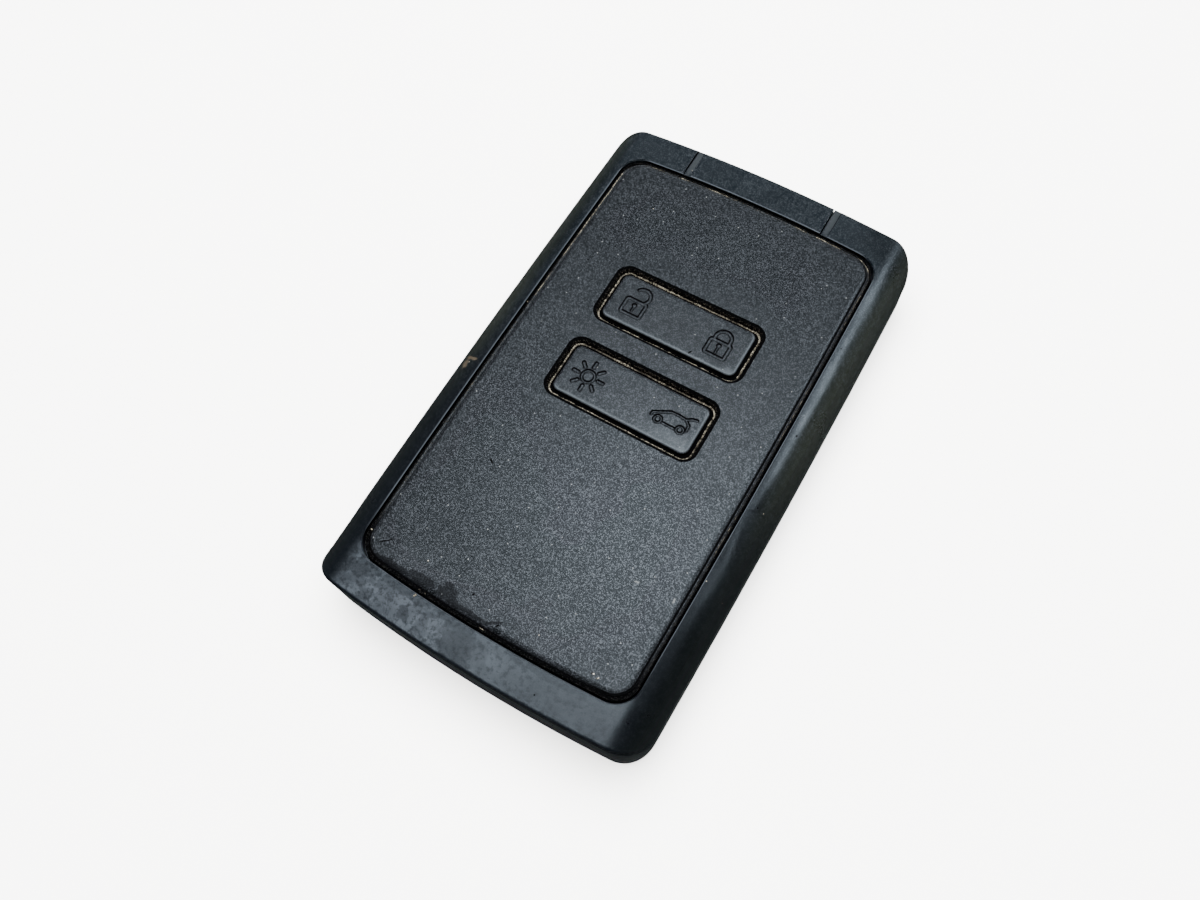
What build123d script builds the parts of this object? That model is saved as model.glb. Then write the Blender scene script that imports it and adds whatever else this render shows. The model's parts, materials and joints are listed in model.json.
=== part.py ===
from build123d import *
import math
import os

# A card-shaped hands-free car key, in millimetres.
# X runs across the card, Y towards the end that holds the emergency key, Z out of the front face.
# The origin lies under the middle of the card, on the surface that its back rests on.

# The whole card. Its long sides and its ends are shallow arcs, and its long sides have
# shoulders of two tangent arcs each, in front and, smaller, at the back.
card_length = 77.0
card_width = 46.0
card_thickness = 10.6
side_bow = 0.35
end_bow = 1.13
corner_radius = 4.2
shoulder_width = 4.2
shoulder_drop = 4.7
back_shoulder_width = 3.0
back_shoulder_drop = 3.2
shoulder_lap = 0.08
shoulder_joint_angle = 45.0
end_edge_radius = 0.45
parting_height = 5.0
parting_gap = 0.15
cut_overrun = 1.0

# The opening in the front frame and the panel that fills it.
side_band = 3.85
end_band = 4.6
opening_side_bow = 0.27
opening_end_bow = 0.85
opening_corner_radius = 3.4
opening_edge_chamfer = 0.12
panel_thickness = 1.5
panel_gap = 0.28
panel_step_width = 0.33
panel_step_drop = 0.4
panel_roll_radius = 0.8
panel_lip_width = 0.16
panel_lip_height = 0.12
ledge_width = 1.5
ledge_thickness = 0.8

# The hollow inside the shells, the tongue that locates the rear cover and the cored-out ends.
side_wall = 2.5
end_wall = 5.3
hollow_corner_radius = 3.0
rear_wall = 1.1
tongue_width = 0.7
tongue_height = 0.7
tongue_clearance = 0.1
core_count = 5
core_depth = 2.2
core_wall = 1.2
core_width = 5.2
core_gap = 1.4
core_roof = 1.6

# The emergency key: a plastic head in the top end, a stem behind it and a steel blade.
head_width = 19.5
head_clearance = 0.12
reveal_width = 1.0
reveal_depth = 0.3
stem_width = 8.4
stem_length = 8.4
stem_bottom = 2.5
stem_thickness = 3.2
stem_clearance = 0.25
notch_offset = 4.4
notch_length = 1.6
notch_depth = 0.8
blade_width = 7.0
blade_thickness = 2.0
blade_cell_gap = 1.75
blade_root = 9.5
blade_tip_length = 2.6
blade_tip_width = 3.0
blade_wall_share = 0.25
blade_clearance = 0.25
track_width = 1.5
track_depth = 0.6
track_swing = 1.2
track_pitch = 5.2
track_corner_radius = 1.2

# The two rocking bars, their windows in the panel and their pivots.
window_length = 20.6
window_height = 8.2
window_corner_radius = 1.35
window_roll_radius = 0.57
window_bridge = 4.0
rocker_setback = 21.4
rocker_end_gap = 0.55
rocker_side_gap = 0.6
rocker_corner_radius = 1.0
rocker_edge_radius = 0.4
rocker_recess = 0.15
rocker_step_drop = 0.75
rocker_step_gap = 0.15
rocker_flange_width = 0.7
rocker_flange_height_share = 0.86
rocker_flange_thickness = 0.5
rocker_flange_drop = 0.45
rocker_wall = 1.15
rocker_side_wall = 0.75
rocker_rib_width = 1.0
pip_setback = 3.8
pip_radius = 1.3
pip_gap = 0.15
trunnion_radius = 0.45
trunnion_length = 0.9
trunnion_clearance = 0.05
saddle_width = 2.4
saddle_end_gap = 0.15

# The stack between the panel and the cell.
cell_diameter = 20.0
cell_thickness = 3.2
cell_end_gap = 3.7
cell_floor_gap = 0.3
cell_clearance = 0.25
cell_rim_width = 0.7
cell_gasket_width = 0.4
cell_recess_depth = 0.5
cell_crimp = 0.25
cell_fit = 0.02
cell_edge_chamfer = 0.3
contact_space = 0.7
board_thickness = 0.8
board_clearance = 0.15
board_catch_gap = 0.85
switch_length = 3.6
switch_depth = 3.0
switch_height = 0.65
switch_floor = 0.1
plunger_radius = 0.8
plunger_height = 0.5
plunger_travel = 0.2
plunger_clearance = 0.05
mat_width = 26.0
mat_margin = 5.4
mat_wall = 0.9
mat_web = 0.35
mat_lift = 1.05
mat_corner_radius = 1.5
dome_radius = 1.6
dome_rise = 0.25
nub_radius = 0.9
nub_drop = 0.1

# The chassis: the inner tray.
chassis_gap = 0.25
chassis_floor_gap = 0.2
chassis_wall = 0.9
chassis_ledge = 1.1
deck_thickness = 0.4
cell_ring_wall = 0.9
rib_width = 1.0
rib_angles = (35.0, 145.0, 215.0, 325.0)
guide_wall = 0.8
guide_floor = 0.8
post_length = 3.0
peg_radius = 0.6
peg_rise = 0.45
peg_clearance = 0.05

# The clips of the rear cover.
clips_per_side = 3
clip_pitch = 20.0
clip_width = 3.2
clip_arm = 0.6
clip_side_gap = 0.15
clip_pocket_depth = 1.3
clip_pocket_gap = 0.4
clip_barb = 0.4
clip_barb_height = 0.6
clip_height = 3.5
clip_ledge_gap = 0.1
clip_ledge_thickness = 0.5
clip_ledge_width = 0.35

# The release button and the leaf that it lifts.
button_length = 10.0
button_width = 6.0
button_corner_radius = 1.5
button_clearance = 0.12
button_recess = 0.2
button_notch_gap = 1.2
button_travel = 0.7
button_flange_length = 13.9
button_flange_width = 7.6
button_flange_thickness = 0.5
button_flange_gap = 0.1
button_ridge_width = 0.5
button_ridge_height = 0.12
button_ridge_corner = 0.2
button_ridge_pitch = 1.3
button_ridge_count = 3
prong_width = 1.2
prong_depth = 1.8
prong_gap = 0.15
prong_clearance = 0.15
leaf_thickness = 0.2
leaf_gap = 0.15
leaf_beam_width = 5.0
leaf_head_depth = 2.8
leaf_tooth_width = 4.0
leaf_tooth_length = 0.45

# The contacts and the parts on the board.
contact_thickness = 0.2
star_radius = 6.5
star_hub_radius = 3.2
star_finger_width = 2.0
star_fingers = 3
star_start_angle = 90.0
clip_contact_thickness = 0.3
clip_contact_angle = 25.0
clip_contact_cut_angle = 33.0
contact_gap = 0.05
clip_contact_foot = 1.2
controller_size = 7.0
radio_size = 5.0
chip_height = 0.9
chip_chamfer = 0.15
chip_gap = 1.0
crystal_length = 3.2
crystal_width = 2.5
crystal_height = 0.8
crystal_corner_radius = 0.5
passive_length = 1.6
passive_width = 0.8
passive_height = 0.5
passive_gap = 0.4
passive_pitch = 2.2
passives_per_row = 3
antenna_size = 11.0
antenna_post = 8.0
antenna_end_gap = 0.6
antenna_height = 2.5
antenna_flange = 0.5
antenna_winding_gap = 0.1
antenna_edge_radius = 0.6

# Levels, from the back to the front.
cell_bottom = rear_wall + cell_floor_gap
cell_top = cell_bottom + cell_thickness
board_bottom = cell_top + contact_space
board_top = board_bottom + board_thickness
panel_bottom = card_thickness - panel_thickness
ledge_bottom = panel_bottom - ledge_thickness
flange_top = panel_bottom - rocker_flange_drop
flange_bottom = flange_top - rocker_flange_thickness
pivot_height = (flange_top + flange_bottom) / 2
web_bottom = board_top + mat_lift
web_top = web_bottom + mat_web
chassis_bottom = rear_wall + chassis_floor_gap
deck_bottom = board_bottom - deck_thickness
stem_top = stem_bottom + stem_thickness
blade_bottom = stem_bottom + blade_wall_share * (stem_thickness - blade_thickness)
blade_top = blade_bottom + blade_thickness
leaf_bottom = stem_top + leaf_gap
leaf_top = leaf_bottom + leaf_thickness

# Sizes and places that several pieces share.
opening_length = card_length - 2 * end_band
opening_width = card_width - 2 * side_band
hollow_length = card_length - 2 * end_wall
hollow_width = card_width - 2 * side_wall
rocker_length = window_length - 2 * rocker_end_gap
rocker_height = window_height - 2 * rocker_side_gap
rocker_pitch = window_height + window_bridge
lock_rocker_y = opening_length / 2 - rocker_setback
light_rocker_y = lock_rocker_y - rocker_pitch
rocker_places = (lock_rocker_y, light_rocker_y)
rocker_middle_y = (lock_rocker_y + light_rocker_y) / 2
pip_offset = window_length / 2 - pip_setback
cell_y = cell_end_gap + cell_diameter / 2 - hollow_length / 2
head_back_y = opening_length / 2
stem_end_y = head_back_y - stem_length
notch_y = head_back_y - notch_offset
button_y = notch_y - button_notch_gap
catch_y = stem_end_y - stem_clearance - guide_wall
blade_tip_y = cell_y + cell_diameter / 2 + cell_clearance + blade_cell_gap
track_waves = int((stem_end_y - blade_tip_y) / track_pitch) - 1
pocket_half = head_width / 2 + head_clearance
board_end_y = catch_y - post_length - board_catch_gap
antenna_y = (antenna_size - hollow_length) / 2 + chassis_gap + chassis_wall + board_clearance \
    + antenna_end_gap
controller_x = -(antenna_size + controller_size) / 2 - chip_gap
radio_x = (antenna_size + radio_size) / 2 + chip_gap
crystal_y = antenna_y + (radio_size + crystal_width) / 2 + chip_gap


def bowed(length, width, side, end, corner):
    # A rectangle whose sides and ends are shallow arcs, with rounded corners.
    hx, hy = width / 2, length / 2
    cx, cy = hx - side, hy - end
    wire = Wire([
        ThreePointArc((cx, cy), (0, hy), (-cx, cy)),
        ThreePointArc((-cx, cy), (-hx, 0), (-cx, -cy)),
        ThreePointArc((-cx, -cy), (0, -hy), (cx, -cy)),
        ThreePointArc((cx, -cy), (hx, 0), (cx, cy)),
    ])
    face = Face(wire)
    return fillet(face.vertices(), corner)


def opening_outline(inset=0.0):
    # The front opening, or an outline set back from it all round.
    return bowed(opening_length - 2 * inset, opening_width - 2 * inset, opening_side_bow,
                 opening_end_bow, opening_corner_radius - inset)


def hollow_outline(grow=0.0):
    # The hollow inside both shells, or an outline grown from it all round.
    return bowed(hollow_length + 2 * grow, hollow_width + 2 * grow, opening_side_bow,
                 opening_end_bow, hollow_corner_radius + grow)


def raised(face, bottom, top):
    # A flat outline carried from one height to another.
    return Pos(0, 0, bottom) * extrude(face, top - bottom, dir=(0, 0, 1))


def block(x0, x1, y0, y1, z0, z1):
    # A box between two corners.
    return Pos((x0 + x1) / 2, (y0 + y1) / 2, (z0 + z1) / 2) * Box(x1 - x0, y1 - y0, z1 - z0)


def drum(radius, z0, z1, x=0.0, y=0.0):
    # An upright cylinder between two heights.
    return Pos(x, y, (z0 + z1) / 2) * Cylinder(radius, z1 - z0)


def one(shape):
    # The single solid of a shape.
    solids = shape.solids()
    return solids[0] if len(solids) == 1 else shape


def rounded_plate(length, width, corner, z0, z1, x=0.0, y=0.0):
    # An upright plate with round corners, its length along X.
    return Pos(x, y, 0) * raised(RectangleRounded(length, width, corner), z0, z1)


def bow_radius(half_chord, bow):
    return (half_chord ** 2 + bow ** 2) / (2 * bow)


def side_shift(y):
    # How far the bowed side has come in at a place along the card.
    radius = bow_radius(opening_length / 2 - opening_end_bow, opening_side_bow)
    return radius - math.sqrt(radius ** 2 - y ** 2)


def shoulder_cutter(width, drop, flat_height, up):
    # What the shoulder takes off the right-hand side: a profile of two tangent arcs that
    # follows the bow of the side, turned about the centre of that bow.
    half = card_width / 2
    radius = bow_radius(card_length / 2 - end_bow, side_bow)
    sense = 1 if up else -1
    start = half - width
    level = flat_height - sense * drop
    outside = half + corner_radius
    turn = math.radians(shoulder_joint_angle)
    joint = (start + (width + shoulder_lap) * math.sin(turn), level + sense * drop * math.cos(turn))
    crown = TangentArc((start, flat_height), joint, tangent=(1, 0))
    flank = TangentArc(joint, (half + shoulder_lap, level), tangent=crown % 1)
    rest = Polyline((half + shoulder_lap, level), (outside, level),
                    (outside, flat_height + sense * corner_radius),
                    (start, flat_height + sense * corner_radius), (start, flat_height))
    profile = Plane.XZ * Face(Wire([crown, flank] + rest.edges()))
    axis = Axis((half - radius, 0, 0), (0, 0, 1))
    sweep = 2 * math.degrees(math.asin((card_length / 2 + corner_radius) / radius))
    return revolve(profile.rotate(axis, -sweep / 2), axis, sweep)


def card_form():
    # The whole outside of the card as one solid.
    form = raised(bowed(card_length, card_width, side_bow, end_bow, corner_radius), 0, card_thickness)
    front = shoulder_cutter(shoulder_width, shoulder_drop, card_thickness, True)
    back = shoulder_cutter(back_shoulder_width, back_shoulder_drop, 0, False)
    for cutter in (front, back):
        form = form - cutter - cutter.mirror(Plane.YZ)
    near_end = card_length / 2 - corner_radius - end_bow
    widest = card_width / 2 - side_bow
    rims = [
        edge for edge in form.edges()
        if abs(edge.center().Y) > near_end and abs(edge.center().X) < widest
        and (edge.center().Z > card_thickness - shoulder_drop or edge.center().Z < back_shoulder_drop)
        and edge.geom_type != GeomType.LINE
        and abs(edge.center().Z - card_thickness / 2) > card_thickness / 4
    ]
    return fillet(rims, end_edge_radius)


def head_pocket():
    # The full-depth space in the top end that takes the head, with its clearance.
    slab = block(-pocket_half, pocket_half, stem_end_y, card_length / 2 + cut_overrun,
                 -cut_overrun, card_thickness + cut_overrun)
    return slab - raised(opening_outline(head_clearance), -cut_overrun, card_thickness + cut_overrun)


def end_cores(z0, z1):
    # Pockets that keep the thick ends of the shells to a moulding's wall.
    outer = card_length / 2 - core_wall - end_bow
    inner = outer - core_depth
    pitch = core_width + core_gap
    core = block(-core_width / 2, core_width / 2, inner, outer, z0, z1)
    beside_head = pocket_half + reveal_width + core_wall + core_width / 2
    cores = [Pos(side * beside_head, 0, 0) * core for side in (-1, 1)]
    for k in range(core_count):
        x = (k - (core_count - 1) / 2) * pitch
        cores.append(Pos(x, 0, 0) * core.mirror(Plane.XZ))
    return cores


def front_frame():
    # The upper shell: shoulders, the opening with its ledge, the pocket for the key head
    # with a shallow reveal each side, and a rebate for the tongue of the rear cover.
    frame = card_form() - block(-card_width, card_width, -card_length, card_length,
                                -cut_overrun, parting_height)
    frame -= raised(opening_outline(), panel_bottom, card_thickness + cut_overrun)
    frame -= raised(opening_outline(ledge_width), parting_height, card_thickness)
    frame -= raised(hollow_outline(), parting_height - cut_overrun, ledge_bottom)
    rim = raised(hollow_outline(tongue_width + tongue_clearance), parting_height - cut_overrun,
                 parting_height + tongue_height + tongue_clearance)
    key_bay = block(-pocket_half - core_wall, pocket_half + core_wall, stem_end_y, card_length,
                    -cut_overrun, card_thickness)
    frame -= rim - key_bay
    for core in end_cores(parting_height - cut_overrun, card_thickness - core_roof):
        frame -= core
    edge = opening_edge_chamfer
    frame -= loft([Pos(0, 0, card_thickness - edge) * opening_outline(),
                   Pos(0, 0, card_thickness + edge) * opening_outline(-2 * edge)], ruled=True)
    reach = pocket_half + reveal_width
    floor = card_thickness - reveal_depth
    frame -= block(-reach, reach, stem_end_y, card_length, floor, card_thickness + cut_overrun)
    frame -= head_pocket()
    slot = stem_width / 2 + stem_clearance
    frame -= block(-slot, slot, stem_end_y, card_length, parting_height - cut_overrun,
                   stem_top + stem_clearance)
    return one(frame)


def rear_cover():
    # The lower shell: back wall, shoulders, a tongue round its rim, the hole for the
    # release button and the pocket for the key head.
    cover = card_form() - block(-card_width, card_width, -card_length, card_length,
                                parting_height - parting_gap, card_thickness + cut_overrun)
    tongue = raised(hollow_outline(tongue_width), rear_wall,
                    parting_height - parting_gap + tongue_height)
    key_bay = block(-pocket_half - core_wall - tongue_clearance,
                    pocket_half + core_wall + tongue_clearance, stem_end_y, card_length,
                    parting_height - parting_gap, card_thickness)
    cover += tongue - key_bay
    cover -= raised(hollow_outline(), rear_wall, card_thickness)
    for core in end_cores(rear_wall, parting_height):
        cover -= core
    cover -= head_pocket()
    slot = stem_width / 2 + stem_clearance
    cover -= block(-slot, slot, stem_end_y, card_length, stem_bottom - stem_clearance,
                   card_thickness)
    cover -= rounded_plate(button_length + 2 * button_clearance, button_width + 2 * button_clearance,
                           button_corner_radius + button_clearance, -cut_overrun,
                           rear_wall + cut_overrun, 0, button_y)
    return one(cover)


def clip_rows():
    # Where the clips of a side stand along the card.
    return [(k - (clips_per_side - 1) / 2) * clip_pitch for k in range(clips_per_side)]


def chassis_side(y):
    # How far the chassis reaches to the side at a place along the card.
    return hollow_width / 2 - side_shift(y) - chassis_gap


def cover_clips():
    # Flexing hooks that stand on the floor of the rear cover and catch the chassis.
    clips = []
    tip = rear_wall + clip_height
    for y in clip_rows():
        wall = chassis_side(y) - clip_side_gap
        hook = block(wall - clip_arm, wall, y - clip_width / 2, y + clip_width / 2, rear_wall, tip)
        barb = Polygon((wall - clip_arm, tip - clip_barb_height),
                       (wall - clip_arm - clip_barb, tip - clip_barb_height),
                       (wall - clip_arm, tip), align=None)
        hook += Pos(0, y + clip_width / 2, 0) * extrude(Plane.XZ * barb, clip_width, dir=(0, -1, 0))
        clips += [one(hook), one(hook.mirror(Plane.YZ))]
    return Compound(clips)


def front_panel():
    # The soft-touch front plate: a stepped edge with a fine lip round it, soft rolled edges,
    # two rolled windows, and four saddles under it for the pivots of the bars.
    step = opening_outline(panel_gap)
    panel = raised(step, panel_bottom, card_thickness - panel_step_drop)
    crown = raised(opening_outline(panel_gap + panel_step_width), panel_bottom, card_thickness)
    crown = fillet(crown.edges().group_by(Axis.Z)[-1], panel_roll_radius)
    lip = (raised(step, card_thickness - panel_step_drop,
                  card_thickness - panel_step_drop + panel_lip_height)
           - raised(opening_outline(panel_gap + panel_lip_width), panel_bottom, card_thickness))
    panel = panel + crown + lip
    for y in rocker_places:
        panel -= rounded_plate(window_length, window_height, window_corner_radius,
                               panel_bottom - cut_overrun, card_thickness + cut_overrun, 0, y)
    rims = [edge for edge in panel.edges().filter_by(Plane.XY).group_by(Axis.Z)[-1]
            if abs(edge.center().X) < window_length / 2 + shoulder_lap
            and abs(edge.center().Y - rocker_middle_y) < rocker_pitch]
    panel = fillet(rims, window_roll_radius)
    start = rocker_flange_half() + saddle_end_gap
    for y in rocker_places:
        for side in (-1, 1):
            ends = sorted((y + side * start, y + side * (start + trunnion_length)))
            saddle = block(-saddle_width / 2, saddle_width / 2, ends[0], ends[1],
                           pivot_height, panel_bottom)
            saddle -= Pos(0, y, pivot_height) * Rot(90, 0, 0) * Cylinder(
                trunnion_radius + trunnion_clearance, 2 * rocker_pitch)
            panel += saddle
    return one(panel)


def rocker_flange_half():
    # How far the hidden flange of a bar reaches from its middle, along Y.
    return rocker_height / 2 + (rocker_flange_width + window_height / 2 - rocker_height / 2) \
        * rocker_flange_height_share


def rocker(y):
    # One bar: a rounded cap, a step inside the window that catches dust, a hidden flange
    # under the panel, two pips for the switches and two trunnions to rock on.
    top = card_thickness - rocker_recess
    cap = rounded_plate(rocker_length, rocker_height, rocker_corner_radius, flange_bottom, top)
    cap = fillet(cap.edges().group_by(Axis.Z)[-1], rocker_edge_radius)
    step = rounded_plate(window_length - 2 * rocker_step_gap, window_height - 2 * rocker_step_gap,
                         window_corner_radius - rocker_step_gap, flange_bottom,
                         card_thickness - rocker_step_drop)
    half = rocker_flange_half()
    flange = rounded_plate(window_length + 2 * rocker_flange_width, 2 * half,
                           window_corner_radius, flange_bottom, flange_top)
    bar = cap + step + flange
    inside = rounded_plate(rocker_length - 2 * rocker_side_wall, rocker_height - 2 * rocker_side_wall,
                           rocker_corner_radius, flange_bottom - cut_overrun, top - rocker_wall)
    rib = block(-rocker_rib_width / 2, rocker_rib_width / 2, -rocker_height / 2, rocker_height / 2,
                flange_bottom, card_thickness)
    bar -= inside - rib
    for side in (-1, 1):
        pip = drum(pip_radius, web_top + dome_rise + pip_gap, top - rocker_wall / 2,
                   side * pip_offset, 0)
        pin = Pos(0, side * (half + trunnion_length / 2), pivot_height) * Rot(90, 0, 0) \
            * Cylinder(trunnion_radius, trunnion_length)
        bar += pip
        bar += pin
    return one(Pos(0, y, 0) * bar)


def keypad_mat():
    # The silicone mat: a skirt on the board, a web, a dome under each pip and a nub below it.
    depth = rocker_pitch + 2 * mat_margin
    mat = rounded_plate(mat_width, depth, mat_corner_radius, board_top, web_top,
                        0, rocker_middle_y)
    mat -= rounded_plate(mat_width - 2 * mat_wall, depth - 2 * mat_wall,
                         mat_corner_radius - mat_wall, board_top - cut_overrun, web_bottom,
                         0, rocker_middle_y)
    for y in rocker_places:
        for side in (-1, 1):
            mat += drum(dome_radius, web_bottom, web_top + dome_rise, side * pip_offset, y)
            mat += drum(nub_radius, web_bottom - nub_drop, web_top, side * pip_offset, y)
    return one(mat)


def circuit_board():
    # The board: it fills the chassis and stops short of the catch of the emergency key.
    grow = -chassis_gap - chassis_wall - board_clearance
    board = raised(hollow_outline(grow), board_bottom, board_top)
    board -= block(-card_width, card_width, board_end_y, card_length, 0, card_thickness)
    return one(board)


def switch_places():
    return [(side * pip_offset, y) for y in rocker_places for side in (-1, 1)]


def switch_bodies():
    # Four flat switches on the board, each with a well for its plunger.
    bodies = []
    for x, y in switch_places():
        body = block(x - switch_length / 2, x + switch_length / 2, y - switch_depth / 2,
                     y + switch_depth / 2, board_top, board_top + switch_height)
        body -= drum(plunger_radius + plunger_clearance, board_top + switch_floor,
                     board_top + switch_height + cut_overrun, x, y)
        bodies.append(one(body))
    return Compound(bodies)


def plunger(x, y):
    # The moving button of one switch.
    bottom = board_top + switch_floor + plunger_travel + plunger_clearance
    button = drum(plunger_radius, bottom, bottom + plunger_height, x, y)
    return one(chamfer(button.edges().group_by(Axis.Z)[-1], plunger_clearance))


def chassis():
    # The inner tray: a wall round it, a ledge and a deck under the board, the well of the
    # cell with four ribs, the channel of the blade, and the post of the catch.
    outer = -chassis_gap
    tray = raised(hollow_outline(outer), chassis_bottom, ledge_bottom)
    tray -= raised(hollow_outline(outer - chassis_wall), board_bottom, ledge_bottom + cut_overrun)
    tray -= raised(hollow_outline(outer - chassis_wall - chassis_ledge), 0, deck_bottom)
    well = cell_diameter / 2 + cell_clearance
    guide_y = blade_tip_y - blade_clearance
    half_blade = blade_width / 2 + blade_clearance
    half_stem = stem_width / 2 + stem_clearance
    guide_bottom = blade_bottom - blade_clearance - guide_floor
    back_wall = hollow_length / 2 + outer - chassis_wall - chassis_ledge
    walls = drum(well + cell_ring_wall, chassis_bottom, deck_bottom, 0, cell_y)
    for angle in rib_angles:
        rib = Pos(0, cell_y, 0) * Rot(0, 0, angle) * block(
            well, card_width / 2, -rib_width / 2, rib_width / 2, chassis_bottom, deck_bottom)
        walls += rib & raised(hollow_outline(outer - chassis_wall / 2), 0, card_thickness)
    walls += block(-half_blade - guide_wall, half_blade + guide_wall, guide_y - guide_wall,
                   stem_end_y, guide_bottom, deck_bottom)
    walls += block(-half_stem - guide_wall, half_stem + guide_wall, catch_y, back_wall,
                   stem_bottom - stem_clearance, deck_bottom)
    tray += walls
    tray -= drum(well, 0, card_thickness, 0, cell_y)
    tray -= block(-half_blade, half_blade, guide_y, back_wall, blade_bottom - blade_clearance,
                  blade_top + blade_clearance)
    tray -= block(-half_stem, half_stem, stem_end_y - stem_clearance, card_length,
                  stem_bottom - stem_clearance, stem_top + stem_clearance)
    tray -= block(-half_stem, half_stem, catch_y + guide_wall, back_wall,
                  stem_bottom - stem_clearance - guide_floor, card_thickness)
    prong_x = button_flange_length / 2 + prong_clearance
    flange_y = button_flange_width / 2 + prong_clearance
    tray -= block(-prong_x, prong_x, button_y - flange_y, button_y + flange_y, 0,
                  rear_wall + button_flange_gap + button_flange_thickness + button_travel
                  + button_flange_gap)
    for side in (-1, 1):
        edges = sorted((side * (prong_x - prong_width - 2 * prong_clearance), side * prong_x))
        tray -= block(edges[0], edges[1], button_y - prong_depth / 2 - prong_clearance,
                      button_y + prong_depth / 2 + prong_clearance, 0, card_thickness)
    tray += block(-leaf_beam_width / 2, leaf_beam_width / 2, catch_y - post_length, catch_y,
                  deck_bottom, leaf_bottom)
    tray += drum(peg_radius, deck_bottom, leaf_top + peg_rise, 0, catch_y - post_length / 2)
    tray -= Pos(0, cell_y, 0) * contact_sector(well - cell_fit, well + cell_ring_wall + cut_overrun,
                                               clip_contact_cut_angle, chassis_bottom,
                                               board_bottom)
    ledge_top = rear_wall + clip_height - clip_barb_height - clip_ledge_gap
    for y in clip_rows():
        back = chassis_side(y) - clip_pocket_depth
        half = clip_width / 2 + clip_pocket_gap
        pocket = block(back, chassis_side(y) + cut_overrun, y - half, y + half,
                       0, rear_wall + clip_height + clip_pocket_gap)
        pocket -= block(back, back + clip_ledge_width, y - half, y + half,
                        ledge_top - clip_ledge_thickness, ledge_top)
        tray = tray - pocket - pocket.mirror(Plane.YZ)
    return one(tray)


def contact_sector(inner, outer, angle, z0, z1):
    # A piece of an upright ring, centred on +X.
    ring = drum(outer, z0, z1) - drum(inner, z0 - cut_overrun, z1 + cut_overrun)
    reach = outer * 2
    wedge = Polygon((0, 0), (reach, -reach * math.tan(math.radians(angle))),
                    (reach, reach * math.tan(math.radians(angle))), align=None)
    return ring & raised(wedge, z0 - cut_overrun, z1 + cut_overrun)


def contact_positive():
    # A sprung strip that hugs the wall of the cell, with a foot on the board.
    inner = cell_diameter / 2 + contact_gap
    strip = contact_sector(inner, inner + clip_contact_thickness, clip_contact_angle,
                           cell_bottom + cell_fit + cell_edge_chamfer, board_bottom)
    foot = contact_sector(inner, inner + clip_contact_foot, clip_contact_angle / 2,
                          board_bottom - contact_thickness, board_bottom)
    return one(Pos(0, cell_y, 0) * (strip + foot))


def contact_negative():
    # A star of sprung fingers between the board and the cap of the cell.
    top = board_bottom
    star = drum(star_hub_radius, top - contact_thickness, top)
    low = cell_top + contact_gap
    for k in range(star_fingers):
        profile = Polygon((0, top), (star_hub_radius, top), (star_radius, low + contact_thickness),
                          (star_radius, low), (star_hub_radius, top - contact_thickness),
                          (0, top - contact_thickness), align=None)
        finger = Pos(0, star_finger_width / 2, 0) * extrude(Plane.XZ * profile, star_finger_width,
                                                            dir=(0, -1, 0))
        star += Rot(0, 0, star_start_angle + 360 * k / star_fingers) * finger
    return one(Pos(0, cell_y, 0) * star)


def coin_cell():
    # A 2032 coin cell: the can faces the rear cover, the cap faces the board.
    radius = cell_diameter / 2
    mouth = radius - cell_rim_width
    cap_radius = mouth - cell_gasket_width
    rim = cell_top - cell_crimp
    can = drum(radius, cell_bottom, rim, 0, cell_y)
    can = chamfer(can.edges().group_by(Axis.Z)[0], cell_edge_chamfer)
    can -= drum(mouth, rim - cell_recess_depth, rim + cut_overrun, 0, cell_y)
    gasket = (drum(mouth - cell_fit, rim - cell_recess_depth, rim, 0, cell_y)
              - drum(cap_radius, 0, card_thickness, 0, cell_y))
    cap = drum(cap_radius - cell_fit, rim - cell_recess_depth, cell_top, 0, cell_y)
    cap = chamfer(cap.edges().group_by(Axis.Z)[-1], cell_crimp / 2)
    return one(can), one(gasket), one(cap)


def key_head():
    # The head and its stem, moulded round the root of the blade.
    head = card_form() & block(-head_width / 2, head_width / 2, stem_end_y, card_length,
                               -cut_overrun, card_thickness + cut_overrun)
    head -= raised(opening_outline(), -cut_overrun, card_thickness + cut_overrun)
    stem = block(-stem_width / 2, stem_width / 2, stem_end_y, head_back_y + end_bow,
                 stem_bottom, stem_top)
    stem -= block(-stem_width, stem_width, notch_y - notch_length / 2, notch_y + notch_length / 2,
                  stem_top - notch_depth, stem_top + cut_overrun)
    head += stem
    return one(head - blade_blank())


def blade_blank():
    # The bare blade with its pointed tip and its root inside the head.
    half, tip = blade_width / 2, blade_tip_width / 2
    start = blade_tip_y + blade_tip_length
    end = stem_end_y + blade_root
    outline = Polygon((-half, end), (-half, start), (-tip, blade_tip_y), (tip, blade_tip_y),
                      (half, start), (half, end), align=None)
    return raised(outline, blade_bottom, blade_top)


def key_blade():
    # The steel blade, with a waved track milled along both faces.
    blade = blade_blank()
    start = blade_tip_y
    points = [(0, start - track_width), (0, start + track_pitch / 2)]
    points += [((-1) ** k * track_swing, start + (k + 1) * track_pitch) for k in range(track_waves)]
    points.append((0, start + (track_waves + 1) * track_pitch))
    path = FilletPolyline(*points, radius=track_corner_radius)
    track = trace(path, track_width)
    blade -= raised(track, blade_bottom - cut_overrun, blade_bottom + track_depth)
    blade -= raised(track.mirror(Plane.YZ), blade_top - track_depth, blade_top + cut_overrun)
    return one(blade)


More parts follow.
